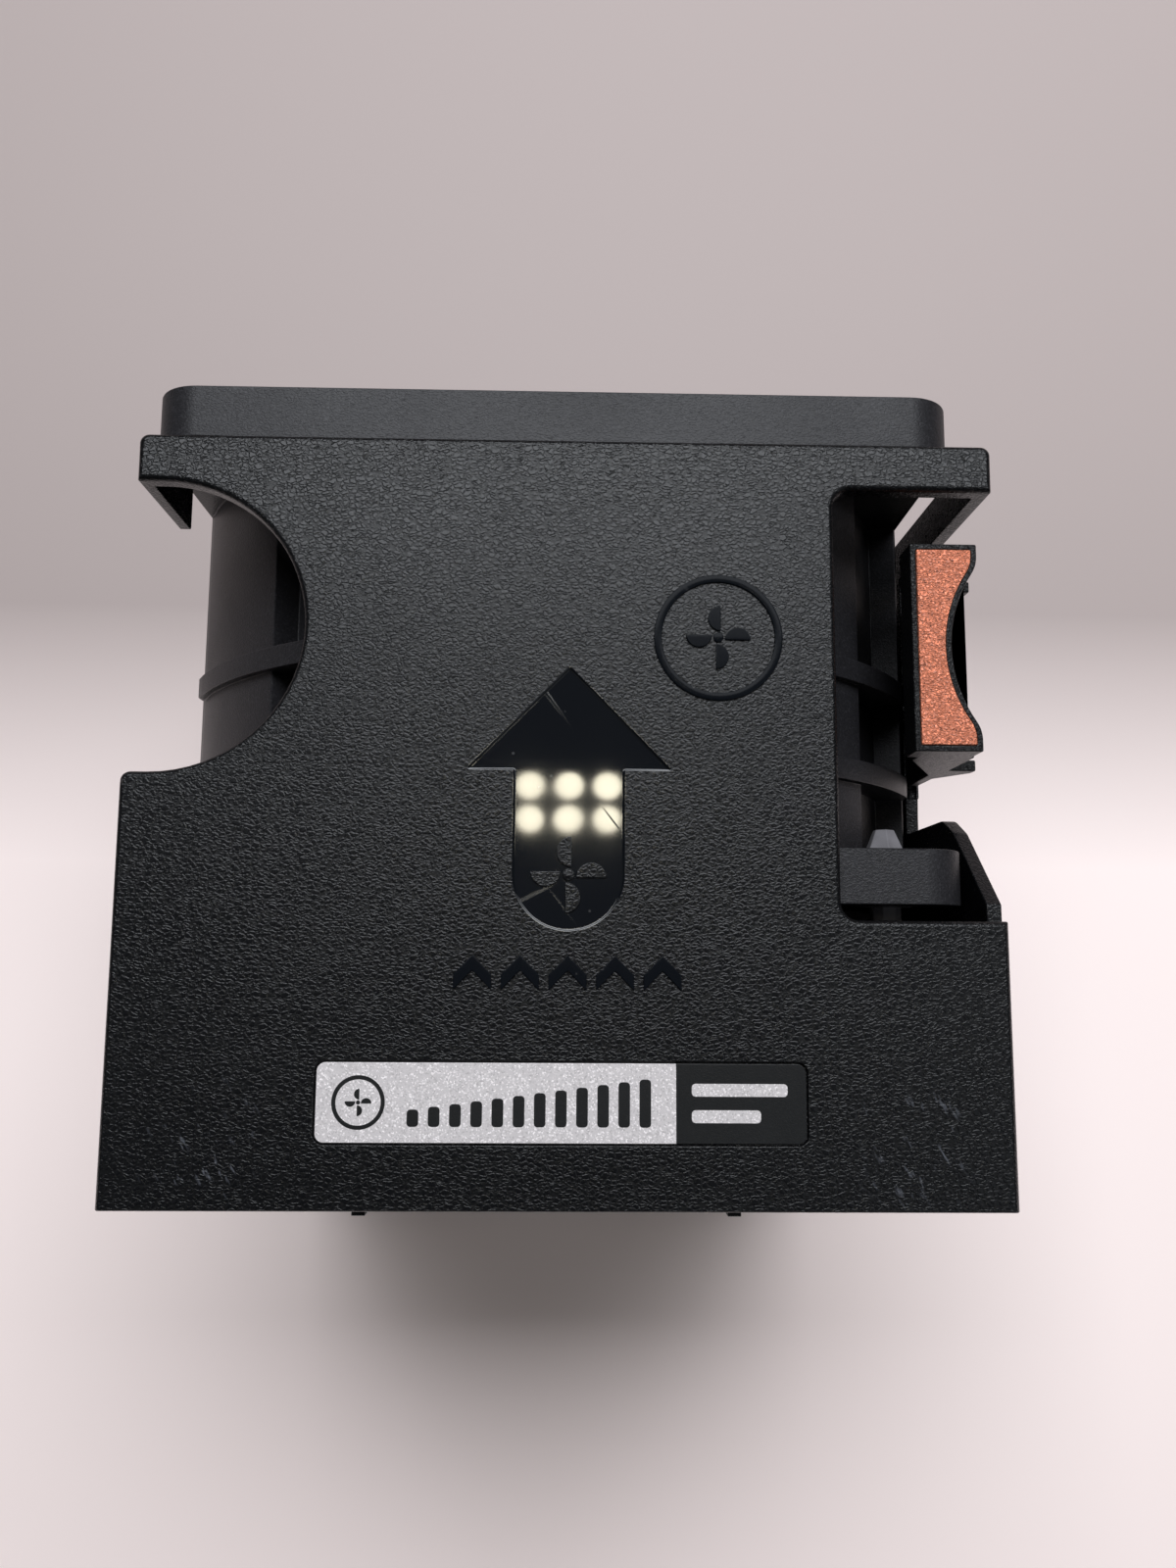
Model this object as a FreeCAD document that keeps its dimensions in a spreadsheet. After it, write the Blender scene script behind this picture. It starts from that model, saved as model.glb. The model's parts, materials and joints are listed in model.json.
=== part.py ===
import FreeCAD, Part
import math
import os
from types import SimpleNamespace
import Sketcher

# Hot-swap fan module for a two-unit server: a moulded carrier holds a 60 mm axial fan on
# rubber pins, and a sprung latch tongue on its right side locks it into the fan bay.
# Frame: +Z up to the arrow face, +Y along the airflow, origin on the base, mid width and depth.

SIZES = [
    ("fan_left_gap", 0.05, "fan to the carrier's left face"),
    ("fan_right_gap", 0.85, "fan to the right wall"),
    ("base_height", 14.35, "base to the seat of the fan"),
    ("plate_gap", 0.5, "arrow face to the outlet flange"),
    ("plate_thickness", 1.5, "arrow face"),
    ("wall", 1.1, "side walls of the carrier"),
    ("floor_thickness", 1.6, "floor under the fan"),
    ("strip_depth", 3.5, "band of the arrow face behind notch and recess"),
    ("fan_size", 60.0, "square flange of the fan"),
    ("fan_length", 38.0, "fan along the airflow"),
    ("fan_start", 20.8, "inlet edge of the carrier to the fan's inlet flange"),
    ("fan_play", 0.15, "gap between the fan and the plate above it"),
    ("flange_thickness", 4.0, "both flanges of the fan frame"),
    ("flange_corner", 3.4, "corner radius of the flanges"),
    ("barrel_bulge", 2.4, "round barrel past the flat sides"),
    ("band_height", 0.6, "stiffening bands round the barrel"),
    ("band_width", 1.75, "each band along the airflow"),
    ("first_band", 9.8, "inlet flange to the first band"),
    ("second_band", 17.7, "inlet flange to the second band"),
    ("bore_wall", 1.4, "barrel wall at the flat sides"),
    ("pocket_wall", 1.5, "barrel wall left under the pockets"),
    ("mouth_flare", 0.9, "widened mouth of the air passage"),
    ("mouth_depth", 3.0, "length of the mouth"),
    ("screw_inset", 5.0, "fan screw holes from the flange edges"),
    ("screw_hole", 4.3, "fan screw hole diameter"),
    ("notch_inset", 1.8, "centre of the finger notch from the left edge"),
    ("notch_radius", 10.6, "finger notch"),
    ("recess_reach", 11.7, "latch recess from the right face"),
    ("recess_before_fan", 1.2, "start of the recess before the inlet flange"),
    ("recess_corner", 1.3, "inner corners of the latch recess"),
    ("edge_lean", 1.3, "end of the slope to the upright edge"),
    ("slope_drop", 8.4, "height lost along the slope"),
    ("edge_drop", 11.2, "arrow face to the start of the upright edge"),
    ("front_slot", 4.2, "gap between the right wall's edge and the latch"),
    ("back_slot", 2.9, "gap between the latch and the outlet post"),
    ("root_drop", 21.6, "arrow face to the root of the latch tongue"),
    ("skirt_drop", 10.7, "left skirt of the outlet strip"),
    ("skirt_wall", 0.9, "thickness of that skirt"),
    ("web_reach", 5.4, "corner web from the outlet post towards the fan"),
    ("web_drop", 6.0, "arrow face to the foot of the corner web"),
    ("slope_round", 2.5, "rounding at both ends of the slope"),
    ("corner_round", 0.7, "corners of the arrow face at notch and outlet"),
    ("frame_wall", 1.9, "cross wall that carries the fan"),
    ("frame_gap", 1.4, "cross wall to the fan's inlet flange"),
    ("duct_margin", 0.2, "round passage of the cross wall past the air passage"),
    ("arrow_x", 0.3, "arrow centre line from the middle"),
    ("arrow_head", 7.3, "length of the arrow head"),
    ("arrow_stem", 7.4, "tail centre to the arrow head"),
    ("arrow_tail", 22.6, "centre of the arrow's round tail from the inlet edge"),
    ("arrow_half", 7.15, "half width of the arrow head"),
    ("arrow_shaft", 3.83, "half width of the arrow shaft"),
    ("arrow_depth", 0.25, "arrow recess"),
    ("label_length", 33.2, "label across the module"),
    ("label_depth", 5.3, "label along the airflow"),
    ("label_from_front", 4.5, "label from the inlet edge"),
    ("label_thickness", 0.25, "label plate"),
    ("label_corner", 0.6, "label corners"),
    ("label_pocket", 0.35, "depth of the label pocket"),
    ("label_margin", 0.12, "play round the label"),
    ("guard_thickness", 2.2, "inlet guard along the airflow"),
    ("guard_setback", 0.6, "inlet edge to the guard"),
    ("guard_play", 0.2, "guard to the duct walls"),
    ("guard_rim", 1.4, "guard's outermost cells inside the air passage"),
    ("guard_web", 1.0, "web between the guard's cells"),
    ("guard_rings", 3, "rings of cells round the closed middle cell"),
    ("tab_spacing", 25.6, "two lift tabs on the guard's top edge"),
    ("tab_width", 0.9, "each lift tab"),
    ("tab_reach", 0.5, "lift tabs past the inlet edge"),
    ("latch_width", 15.8, "latch along the airflow"),
    ("tongue_thickness", 0.9, "springing tongue of the latch"),
    ("tongue_lean", 2.9, "top of the tongue inwards of its root"),
    ("horn_round", 2.5, "rounding between the horns and the scoop"),
    ("knuckle_lift", 0.27, "tongue's rolling foot above the wall"),
    ("knuckle_play", 0.07, "running clearance of that foot"),
    ("head_drop", 3.2, "arrow face to the latch head"),
    ("head_height", 2.9, "latch head block"),
    ("head_depth", 5.3, "latch head from the right face inwards"),
    ("horn_inset", 0.25, "horns of the latch head from the right face"),
    ("scoop_depth", 2.1, "thumb scoop into the outer face"),
    ("scoop_width", 12.4, "thumb scoop along the airflow"),
    ("pad_inset", 0.45, "border of the head round the touch pad"),
    ("pad_depth", 0.8, "pocket for the touch pad"),
    ("pad_play", 0.03, "touch pad to its pocket"),
    ("pad_proud", 0.1, "touch pad above the head"),
    ("hook_plate", 0.9, "thickness of the two hook plates"),
    ("hook_reach", 2.2, "hook tips past the side wall"),
    ("hook_drop", 12.5, "arrow face to the catching edge"),
    ("hook_nose", 1.1, "height of the hook tip"),
    ("hook_foot", 17.0, "arrow face to the foot of the hook ramp"),
    ("gusset_reach", 4.4, "hook plates from the right face inwards"),
    ("gusset_drop", 7.6, "arrow face to that corner"),
    ("gusset_foot", 15.2, "arrow face to the foot of the hook plates"),
    ("hub_radius", 16.5, "impeller hub"),
    ("hub_wall", 1.5, "impeller hub wall"),
    ("hub_front", 2.2, "inlet flange face to the hub's nose"),
    ("rotor_gap", 4.4, "hub to the motor base rim"),
    ("hub_round", 2.0, "rounded nose of the hub"),
    ("tip_gap", 0.5, "blade tips to the air passage"),
    ("blade_count", 7, "impeller blades"),
    ("blade_thickness", 1.5, "blade at its middle"),
    ("blade_edge", 0.5, "blade at its edges"),
    ("blade_to_tail", 3.1, "trailing edge to the end of the hub"),
    ("root_turn", 10.6, "blade root across the airflow"),
    ("tip_shorter", 3.5, "blade tip shorter than its root along the airflow"),
    ("tip_turn", 19.0, "blade tip across the airflow"),
    ("blade_camber", 2.2, "bow of the blade"),
    ("blade_from_front", 3.4, "hub nose to the blades' leading edge"),
    ("vane_count", 9, "outlet vanes that hold the motor"),
    ("vane_thickness", 1.5, "each vane"),
    ("vane_lean", 3.6, "sideways lean of a vane"),
    ("vane_inset", 0.4, "outlet vanes below the back of the disc that they carry"),
    ("vane_length", 7.4, "vanes along the airflow"),
    ("vane_setback", 0.7, "outlet face to the vanes"),
    ("base_thickness", 1.8, "motor base disc"),
    ("base_rim", 5.2, "rim height of the motor base"),
    ("tube_radius", 5.2, "bearing tube outside"),
    ("bearing_outer", 4.0, "bearing outside radius"),
    ("bearing_inner", 2.15, "outside radius of the inner ring"),
    ("bearing_width", 4.0, "each bearing"),
    ("tube_room", 3.8, "rotor cup to the bearing tube"),
    ("clip_room", 1.6, "rear bearing to the motor base"),
    ("clip_thickness", 0.4, "retaining clip on the shaft"),
    ("clip_radius", 2.1, "retaining clip on the shaft"),
    ("clip_groove", 0.3, "depth of the clip's groove in the shaft"),
    ("shaft_radius", 1.5, "shaft"),
    ("fit", 0.03, "radial gap of pressed and glued fits"),
    ("running_fit", 0.08, "radial gap where the rotor turns in its bearings"),
    ("yoke_wall", 1.0, "steel rotor cup"),
    ("yoke_setback", 5.0, "steel rotor cup short of the hub's end"),
    ("magnet_wall", 1.6, "ring magnet"),
    ("magnet_setback", 4.0, "ring magnet short of the rotor cup"),
    ("air_gap", 0.4, "magnet to stator"),
    ("stack_short", 5.0, "stator laminations shorter than the magnet"),
    ("tooth_width", 3.0, "stator tooth"),
    ("shoe_depth", 1.3, "stator pole shoe"),
    ("slot_opening", 2.4, "gap between pole shoes"),
    ("former_flange", 0.8, "winding former"),
    ("coil_margin", 0.9, "winding inside the pole shoes"),
    ("board_margin", 0.6, "driver board to the rim of the motor base"),
    ("board_thickness", 1.0, "driver board"),
    ("board_gap", 1.2, "driver board above the motor base"),
    ("cover_thickness", 1.5, "base cover"),
    ("cover_play", 0.2, "base cover to the skirt"),
    ("boss_radius", 2.8, "screw bosses in the base bay"),
    ("boss_inset", 5.2, "screw bosses from the outer faces"),
    ("cover_screw", 2.5, "base cover screws, thread diameter"),
    ("screw_head", 4.6, "base cover screws, head diameter"),
    ("screw_length", 8.0, "base cover screws"),
    ("plug_width", 13.0, "connector across the module"),
    ("plug_depth", 8.4, "connector along the airflow"),
    ("plug_wall", 1.1, "connector shell"),
    ("plug_height", 9.6, "connector above the base"),
    ("plug_recess", 0.4, "connector mouth above the base"),
    ("plug_flange", 1.6, "ledge that holds the connector on the cover"),
    ("plug_back", 2.0, "back of the connector shell"),
    ("plug_offset", 1.9, "connector before the wires"),
    ("plug_room", 1.7, "connector to the back wall of the base bay"),
    ("contact_count", 4, "connector contacts"),
    ("contact_pitch", 1.6, "contact to contact"),
    ("contact_width", 1.1, "each contact blade"),
    ("contact_thickness", 0.6, "each contact blade"),
    ("contact_reach", 5.0, "contact blades into the connector mouth"),
    ("wire_pitch", 1.6, "wire to wire"),
    ("wire_radius", 0.6, "each wire"),
    ("wire_slack", 0.5, "room round the wires where they pass a wall"),
    ("wire_on_board", 2.2, "wires from the board's rim to their solder pads"),
    ("pin_neck", 1.15, "rubber pin between wall and flange"),
    ("pin_stem", 1.95, "rubber pin inside the flange hole"),
    ("pin_head", 3.2, "rubber pin head on the cross wall"),
    ("pin_head_depth", 1.2, "rubber pin head along the airflow"),
    ("pin_tail", 1.8, "rubber pin bulb along the airflow"),
    ("pin_bulb", 1.6, "rubber pin bulb where it leaves the flange"),
    ("pin_tip", 0.8, "rubber pin's tip"),
]

doc = FreeCAD.newDocument("server_fan_module")
sheet = doc.addObject("Spreadsheet::Sheet", "Sizes")


class Length:
    """A number together with the sheet formula that gives it."""

    def __init__(self, value, formula):
        self.value = float(value)
        self.formula = formula

    def joined(self, sign, other, value):
        return Length(value, f"({self.formula} {sign} {other.formula})")

    def __add__(self, other):
        other = length(other)
        return self.joined("+", other, self.value + other.value)

    def __sub__(self, other):
        other = length(other)
        return self.joined("-", other, self.value - other.value)

    def __mul__(self, other):
        other = length(other)
        return self.joined("*", other, self.value * other.value)

    def __truediv__(self, other):
        other = length(other)
        return self.joined("/", other, self.value / other.value)

    def __radd__(self, other):
        return length(other) + self

    def __rsub__(self, other):
        return length(other) - self

    def __rmul__(self, other):
        return length(other) * self

    def __neg__(self):
        return length(0) - self


def length(number):
    """Any plain number as a Length."""
    if isinstance(number, Length):
        return number
    return Length(number, f"({float(number)})")


def root(number):
    """Square root of a Length."""
    return Length(math.sqrt(number.value), f"sqrt({number.formula})")


def fill_sheet():
    """Write every size to the sheet and hand the sizes back by name."""
    names = {}
    for row, (alias, value, meaning) in enumerate(SIZES, 1):
        sheet.set(f"A{row}", alias)
        sheet.set(f"B{row}", str(value))
        sheet.set(f"C{row}", meaning)
        sheet.setAlias(f"B{row}", alias)
        names[alias] = Length(value, f"Sizes.{alias}")
    doc.recompute()
    return SimpleNamespace(**names)


s = fill_sheet()

half_width = (s.fan_size + s.fan_left_gap + s.fan_right_gap + s.wall) / 2
front = -(s.fan_start + s.fan_length) / 2
fan_front = front + s.fan_start
fan_back = fan_front + s.fan_length
back = fan_back - s.flange_thickness - s.plate_gap
strip_front = back - s.strip_depth
fan_x = s.fan_left_gap + s.fan_size / 2 - half_width
floor_top = s.base_height
floor_bottom = floor_top - s.floor_thickness
fan_top = floor_top + s.fan_size
axis_z = floor_top + s.fan_size / 2
under_plate = fan_top + s.fan_play
top = under_plate + s.plate_thickness
frame_back = fan_front - s.frame_gap
frame_front = frame_back - s.frame_wall
recess_start = fan_front - s.recess_before_fan
latch_front = strip_front - s.back_slot - s.latch_width
wall_edge = latch_front - s.front_slot

bore_radius = s.fan_size / 2 - s.bore_wall
barrel_radius = s.fan_size / 2 + s.barrel_bulge
tip_radius = bore_radius - s.tip_gap
band_radius = barrel_radius + s.band_height
hole_reach = s.fan_size / 2 - s.screw_inset

# Stations along the fan, from its inlet flange.
vane_end = s.fan_length - s.vane_setback
base_face = vane_end - s.base_thickness
base_rim = vane_end - s.base_rim
board_back = base_face - s.board_gap
board_front = board_back - s.board_thickness
wire_station = board_front - s.wire_radius
hub_tail = base_rim - s.rotor_gap
hub_inner = s.hub_radius - s.hub_wall
board_radius = hub_inner - s.board_margin

wire_y = fan_front + wire_station
wire_half = s.wire_pitch * (s.contact_count - 1) / 2 + s.wire_radius
plug_y = wire_y - s.plug_offset
base_back = plug_y + s.plug_depth / 2 + s.plug_room + s.wall


# ---- sketches -------------------------------------------------------------------------------

def place_point(sketch, geometry, end, x, y):
    """Hold one point of a sketch at two sheet formulas."""
    for kind, size in (("DistanceX", x), ("DistanceY", y)):
        number = sketch.addConstraint(Sketcher.Constraint(kind, -1, 1, geometry, end, size.value))
        sketch.setExpression(f"Constraints[{number}]", size.formula)


UP = FreeCAD.Vector(0, 0, 1)


def arc_between(start, end, radius):
    """The short arc from start to end that turns left for a positive radius, right for a negative one."""
    half = (end - start) * 0.5
    rise = math.sqrt(max(radius * radius - half.Length ** 2, 0))
    aside = UP.cross(half).normalize() * math.copysign(rise, radius)
    centre = start + half + aside
    first, last = (start, end) if radius > 0 else (end, start)
    angles = [math.atan2(point.y - centre.y, point.x - centre.x) for point in (first, last)]
    return Part.ArcOfCircle(Part.Circle(centre, UP, abs(radius)), *angles)


def outline(*points):
    """A closed outline. A corner's third value bends the side that leaves it to that radius."""
    def draw(sketch):
        corners = [[length(number) for number in corner] for corner in points]
        first = sketch.GeometryCount
        ends = []
        for index, corner in enumerate(corners):
            ahead = corners[(index + 1) % len(corners)]
            start, end = [FreeCAD.Vector(c[0].value, c[1].value, 0) for c in (corner, ahead)]
            bend = corner[2].value if len(corner) > 2 else 0
            side = arc_between(start, end, bend) if bend else Part.LineSegment(start, end)
            sketch.addGeometry(side, False)
            ends.append((2, 1) if bend < 0 else (1, 2))
        for index, corner in enumerate(corners):
            ahead = (index + 1) % len(corners)
            sketch.addConstraint(Sketcher.Constraint(
                "Coincident", first + index, ends[index][1], first + ahead, ends[ahead][0]))
            place_point(sketch, first + index, ends[index][0], corner[0], corner[1])
            if len(corner) > 2:
                hold_radius(sketch, first + index, corner[2] if corner[2].value > 0 else -corner[2])
    return draw


def hold_radius(sketch, geometry, radius):
    """Tie the radius of an arc or circle to its sheet formula."""
    number = sketch.addConstraint(Sketcher.Constraint("Radius", geometry, radius.value))
    sketch.setExpression(f"Constraints[{number}]", radius.formula)


def box(x_low, x_high, y_low, y_high):
    """A rectangle along the sketch axes."""
    return outline((x_low, y_low), (x_high, y_low), (x_high, y_high), (x_low, y_high))


def circle(x, y, radius):
    """A full circle."""
    def draw(sketch):
        middle_x, middle_y, size = length(x), length(y), length(radius)
        middle = FreeCAD.Vector(middle_x.value, middle_y.value, 0)
        number = sketch.addGeometry(Part.Circle(middle, UP, size.value), False)
        place_point(sketch, number, 3, middle_x, middle_y)
        hold_radius(sketch, number, size)
    return draw


def polygon(x, y, radius, sides):
    """A regular polygon round a point."""
    turns = [2 * math.pi * (step + 0.5) / sides for step in range(sides)]
    return outline(*[(x + radius * math.cos(turn), y + radius * math.sin(turn)) for turn in turns])


def sector(inner, outer, start, end):
    """A piece of a ring between two angles, in degrees."""
    places = [(math.cos(math.radians(turn)), math.sin(math.radians(turn))) for turn in (start, end)]
    (x0, y0), (x1, y1) = places
    return outline(
        (inner * x0, inner * y0), (outer * x0, outer * y0, outer), (outer * x1, outer * y1),
        (inner * x1, inner * y1, -inner))


def blade_section(left, right, bow, thickness, edge):
    """A blade section from left to right: two bowed sides of short flats between blunt ends."""
    (x0, y0), (x1, y1) = left, right
    chord = root((x1 - x0) * (x1 - x0) + (y1 - y0) * (y1 - y0))
    over_x, over_y = (y0 - y1) / chord, (x1 - x0) / chord
    steps = BLADE_FLATS
    sides = []
    for side in (-1, 1):
        line = []
        for step in range(steps + 1):
            along_chord = step / steps
            bulge = 4 * along_chord * (1 - along_chord)
            out = bow * bulge + (edge + (thickness - edge) * bulge) / 2 * side
            line.append((x0 + (x1 - x0) * along_chord + over_x * out,
                         y0 + (y1 - y0) * along_chord + over_y * out))
        sides.append(line)
    return outline(*sides[0], *reversed(sides[1]))


def arc_radius(chord, rise):
    """Radius of the arc with this chord and this height."""
    return (chord * chord / 4 + rise * rise) / (rise * 2)


# Angles between which the barrel is cored out beside its corner at 135 degrees.
POCKET_START, POCKET_END = 113, 131.5
BLADE_FLATS = 5
# A twelve-sided hole clears a round piece when its corners are this much further out.
FLAT_ROOM = 1 / math.cos(math.pi / 12)
AXIS_SIGN = {"XY_Plane": 1, "XZ_Plane": -1, "YZ_Plane": 1}


def origin_item(body, role):
    """One of a body's own origin planes or axes."""
    return next(item for item in body.Origin.OriginFeatures if item.Role == role)


def new_sketch(body, plane, offset, drawings):
    """A sketch on a body's own plane, moved along the plane's normal."""
    sketch = body.newObject("Sketcher::SketchObject", "Sketch")
    sketch.AttachmentSupport = [(origin_item(body, plane), "")]
    sketch.MapMode = "FlatFace"
    offset = length(offset)
    sketch.AttachmentOffset = FreeCAD.Placement(
        FreeCAD.Vector(0, 0, offset.value), FreeCAD.Rotation())
    sketch.setExpression("AttachmentOffset.Base.z", offset.formula)
    for draw in drawings:
        draw(sketch)
    return sketch


def pad(body, plane, low, high, *drawings):
    """Material between two positions along the plane's axis."""
    low, high = length(low), length(high)
    start = low if AXIS_SIGN[plane] > 0 else -high
    feature = body.newObject("PartDesign::Pad", "Pad")
    feature.Profile = new_sketch(body, plane, start, drawings)
    feature.setExpression("Length", (high - low).formula)
    body.Tip = feature
    return feature


def pocket(body, plane, low, high, *drawings):
    """Material taken away between two positions along the plane's axis."""
    low, high = length(low), length(high)
    start = high if AXIS_SIGN[plane] > 0 else -low
    feature = body.newObject("PartDesign::Pocket", "Pocket")
    feature.Profile = new_sketch(body, plane, start, drawings)
    feature.setExpression("Length", (high - low).formula)
    body.Tip = feature
    return feature


def loft(body, plane, *stations):
    """Material drawn straight from one outline to the next; a station is a place and its outline."""
    sketches = [new_sketch(body, plane, length(place) * AXIS_SIGN[plane], [drawing])
                for place, drawing in stations]
    feature = body.newObject("PartDesign::AdditiveLoft", "Loft")
    feature.Profile = sketches[0]
    feature.Sections = sketches[1:]
    feature.Ruled = True
    body.Tip = feature
    return feature


def turn(body, *drawings):
    """A turned form: the sketch holds radius across and airflow up."""
    feature = body.newObject("PartDesign::Revolution", "Revolution")
    feature.Profile = new_sketch(body, "XY_Plane", 0, drawings)
    feature.ReferenceAxis = (feature.Profile[0], ["V_Axis"])
    feature.Angle = 360
    body.Tip = feature
    return feature


def groove(body, *drawings):
    """A turned cut about the airflow axis."""
    feature = body.newObject("PartDesign::Groove", "Groove")
    feature.Profile = new_sketch(body, "XY_Plane", 0, drawings)
    feature.ReferenceAxis = (feature.Profile[0], ["V_Axis"])
    feature.Angle = 360
    body.Tip = feature
    return feature


def polar(body, feature, count):
    """Repeat a feature about the airflow axis."""
    pattern = body.newObject("PartDesign::PolarPattern", "PolarPattern")
    pattern.Originals = [feature]
    pattern.Axis = (origin_item(body, "Y_Axis"), [""])
    pattern.Angle = 360
    pattern.setExpression("Occurrences", length(count).formula)
    body.Tip = pattern
    return pattern


def soften(body, radius, chosen):
    """Round the edges whose middle passes the test."""
    doc.recompute()
    base = body.Tip
    names = []
    for number, edge in enumerate(base.Shape.Edges, 1):
        middle = edge.valueAt((edge.FirstParameter + edge.LastParameter) / 2)
        if chosen(edge, middle):
            names.append(f"Edge{number}")
    feature = body.newObject("PartDesign::Fillet", "Fillet")
    feature.Base = (base, names)
    feature.setExpression("Radius", length(radius).formula)
    body.Tip = feature
    return feature


def along(edge, x, y, z):
    """Whether a straight edge runs along a direction."""
    if not isinstance(edge.Curve, Part.Line):
        return False
    return abs(edge.Curve.Direction.dot(FreeCAD.Vector(x, y, z))) > 0.999


def near(value, size):
    return abs(value - length(size).value) < 0.02


parts = []


def new_body(label):
    """A named sub-part."""
    body = doc.addObject("PartDesign::Body", label)
    body.Label = label
    body.AllowCompound = True
    parts.append(body)
    return body


def on_fan_axis(item, y=None):
    """Carry a sub-part that is drawn round its own Y axis to the fan axis."""
    item.setExpression(".Placement.Base.x", fan_x.formula)
    item.setExpression(".Placement.Base.z", axis_z.formula)
    if y is not None:
        item.setExpression(".Placement.Base.y", length(y).formula)


# ---- carrier --------------------------------------------------------------------------------

def right_wall():
    """Outline of the right side: front wall with its slope, latch gap and outlet post."""
    root_z = top - s.root_drop
    return outline(
        (front, 0), (front, top), (recess_start, top),
        (wall_edge - s.edge_lean, top - s.slope_drop),
        (wall_edge, top - s.edge_drop),
        (wall_edge, root_z), (strip_front, root_z),
        (strip_front, top), (back, top), (back, floor_top), (base_back, floor_top), (base_back, 0))


def left_wall():
    """Outline of the left side: the duct wall in front and the low skirt beside the base bay."""
    return outline(
        (front, 0), (front, top), (frame_back, top),
        (frame_back, floor_top), (base_back, floor_top), (base_back, 0))


def screw_places():
    """Centres of the four base screws."""
    across = half_width - s.boss_inset
    rows = (front + s.boss_inset, base_back - s.boss_inset)
    return [(side * across, y) for side in (-1, 1) for y in rows]


def pin_places():
    """Centres of the four rubber pins, in front view."""
    return [(fan_x + x * hole_reach, axis_z + z * hole_reach) for x in (-1, 1) for z in (-1, 1)]


def make_carrier():
    body = new_body("carrier_shell")
    pad(body, "XY_Plane", under_plate, top, box(-half_width, half_width, front, back))
    pad(body, "YZ_Plane", half_width - s.wall, half_width, right_wall())
    pad(body, "YZ_Plane", -half_width, s.wall - half_width, left_wall())
    pad(body, "YZ_Plane", -half_width, s.skirt_wall - half_width,
        box(strip_front, back, top - s.skirt_drop, top))
    pad(body, "XY_Plane", floor_bottom, floor_top, box(-half_width, half_width, front, base_back))
    for low, high in ((front, front + s.wall), (base_back - s.wall, base_back)):
        pad(body, "XY_Plane", 0, floor_bottom, box(-half_width, half_width, low, high))
    pad(body, "XZ_Plane", frame_front, frame_back, box(-half_width, half_width, floor_bottom, top))
    pocket(body, "XZ_Plane", frame_front, frame_back, circle(fan_x, axis_z, bore_radius + s.duct_margin))
    for x, z in pin_places():
        pocket(body, "XZ_Plane", frame_front, frame_back, polygon(x, z, s.pin_neck + s.fit, 8))
    notch_y = strip_front - s.notch_radius
    notch_x = s.notch_inset - half_width
    pocket(body, "XY_Plane", under_plate, top, circle(notch_x, notch_y, s.notch_radius))
    pocket(body, "XY_Plane", under_plate, top,
           box(-half_width - s.wall, notch_x, notch_y - s.notch_radius, notch_y + s.notch_radius))
    pocket(body, "XY_Plane", under_plate, top,
           box(half_width - s.recess_reach, half_width + s.wall, recess_start, strip_front))
    pad(body, "XZ_Plane", back - s.skirt_wall, back, box(
        half_width - s.wall - s.web_reach, half_width - s.wall, top - s.web_drop, under_plate))
    soften(body, s.recess_corner, lambda edge, at: along(edge, 0, 0, 1)
           and near(at.x, half_width - s.recess_reach) and at.z > under_plate.value)
    soften(body, s.slope_round, lambda edge, at: along(edge, 1, 0, 0)
           and near(at.x, half_width - s.wall / 2)
           and (near(at.z, top - s.slope_drop) or near(at.z, top - s.edge_drop)))
    soften(body, s.corner_round, lambda edge, at: along(edge, 0, 0, 1) and near(at.x, -half_width)
           and near(at.y, notch_y - s.notch_radius) and at.z > under_plate.value)
    soften(body, s.corner_round, lambda edge, at: along(edge, 0, 0, 1) and near(abs(at.x), half_width)
           and near(at.y, back) and at.z > floor_top.value)
    for x, y in screw_places():
        pad(body, "XY_Plane", s.cover_thickness, floor_bottom, polygon(x, y, s.boss_radius, 8))
        pocket(body, "XY_Plane", s.cover_thickness, s.screw_length + s.fit,
               polygon(x, y, s.cover_screw / 2 + s.fit, 8))
    cut_tongue_seat(body)
    cut_wire_slot(body)
    cut_face_marks(body)
    return body


def cut_tongue_seat(body):
    """Trough in the right wall's edge where the latch tongue rolls."""
    seat_z = top - s.root_drop + s.knuckle_lift
    seat_x = half_width - s.tongue_thickness / 2
    low = latch_front
    pocket(body, "XZ_Plane", low - s.wall, low + s.latch_width + s.wall,
           circle(seat_x, seat_z, s.tongue_thickness / 2 + s.knuckle_play))


def cut_wire_slot(body):
    """Slot in the floor for the wires from the fan to the connector."""
    half = wire_half + s.wire_slack
    reach = s.wire_radius + s.wire_slack
    pocket(body, "XY_Plane", floor_bottom, floor_top,
           box(fan_x - half, fan_x + half, wire_y - reach, wire_y + reach))


def cut_face_marks(body):
    """Shallow recesses of the arrow face: the arrow and the label pocket."""
    shaft_low = front + s.arrow_tail
    wings = shaft_low + s.arrow_stem
    low = top - s.arrow_depth
    pocket(body, "XY_Plane", low, top, outline(
        (s.arrow_x - s.arrow_shaft, shaft_low), (s.arrow_x + s.arrow_shaft, shaft_low),
        (s.arrow_x + s.arrow_shaft, wings), (s.arrow_x + s.arrow_half, wings),
        (s.arrow_x, wings + s.arrow_head), (s.arrow_x - s.arrow_half, wings),
        (s.arrow_x - s.arrow_shaft, wings)))
    pocket(body, "XY_Plane", low, top, circle(s.arrow_x, shaft_low, s.arrow_shaft))
    half = s.label_length / 2 + s.label_margin
    y = front + s.label_from_front
    pocket(body, "XY_Plane", top - s.label_pocket, top,
           box(-half, half, y - s.label_margin, y + s.label_depth + s.label_margin))
    soften(body, s.label_corner + s.label_margin, lambda edge, at: along(edge, 0, 0, 1)
           and near(abs(at.x), half) and near(at.z, top - s.label_pocket / 2))


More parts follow.
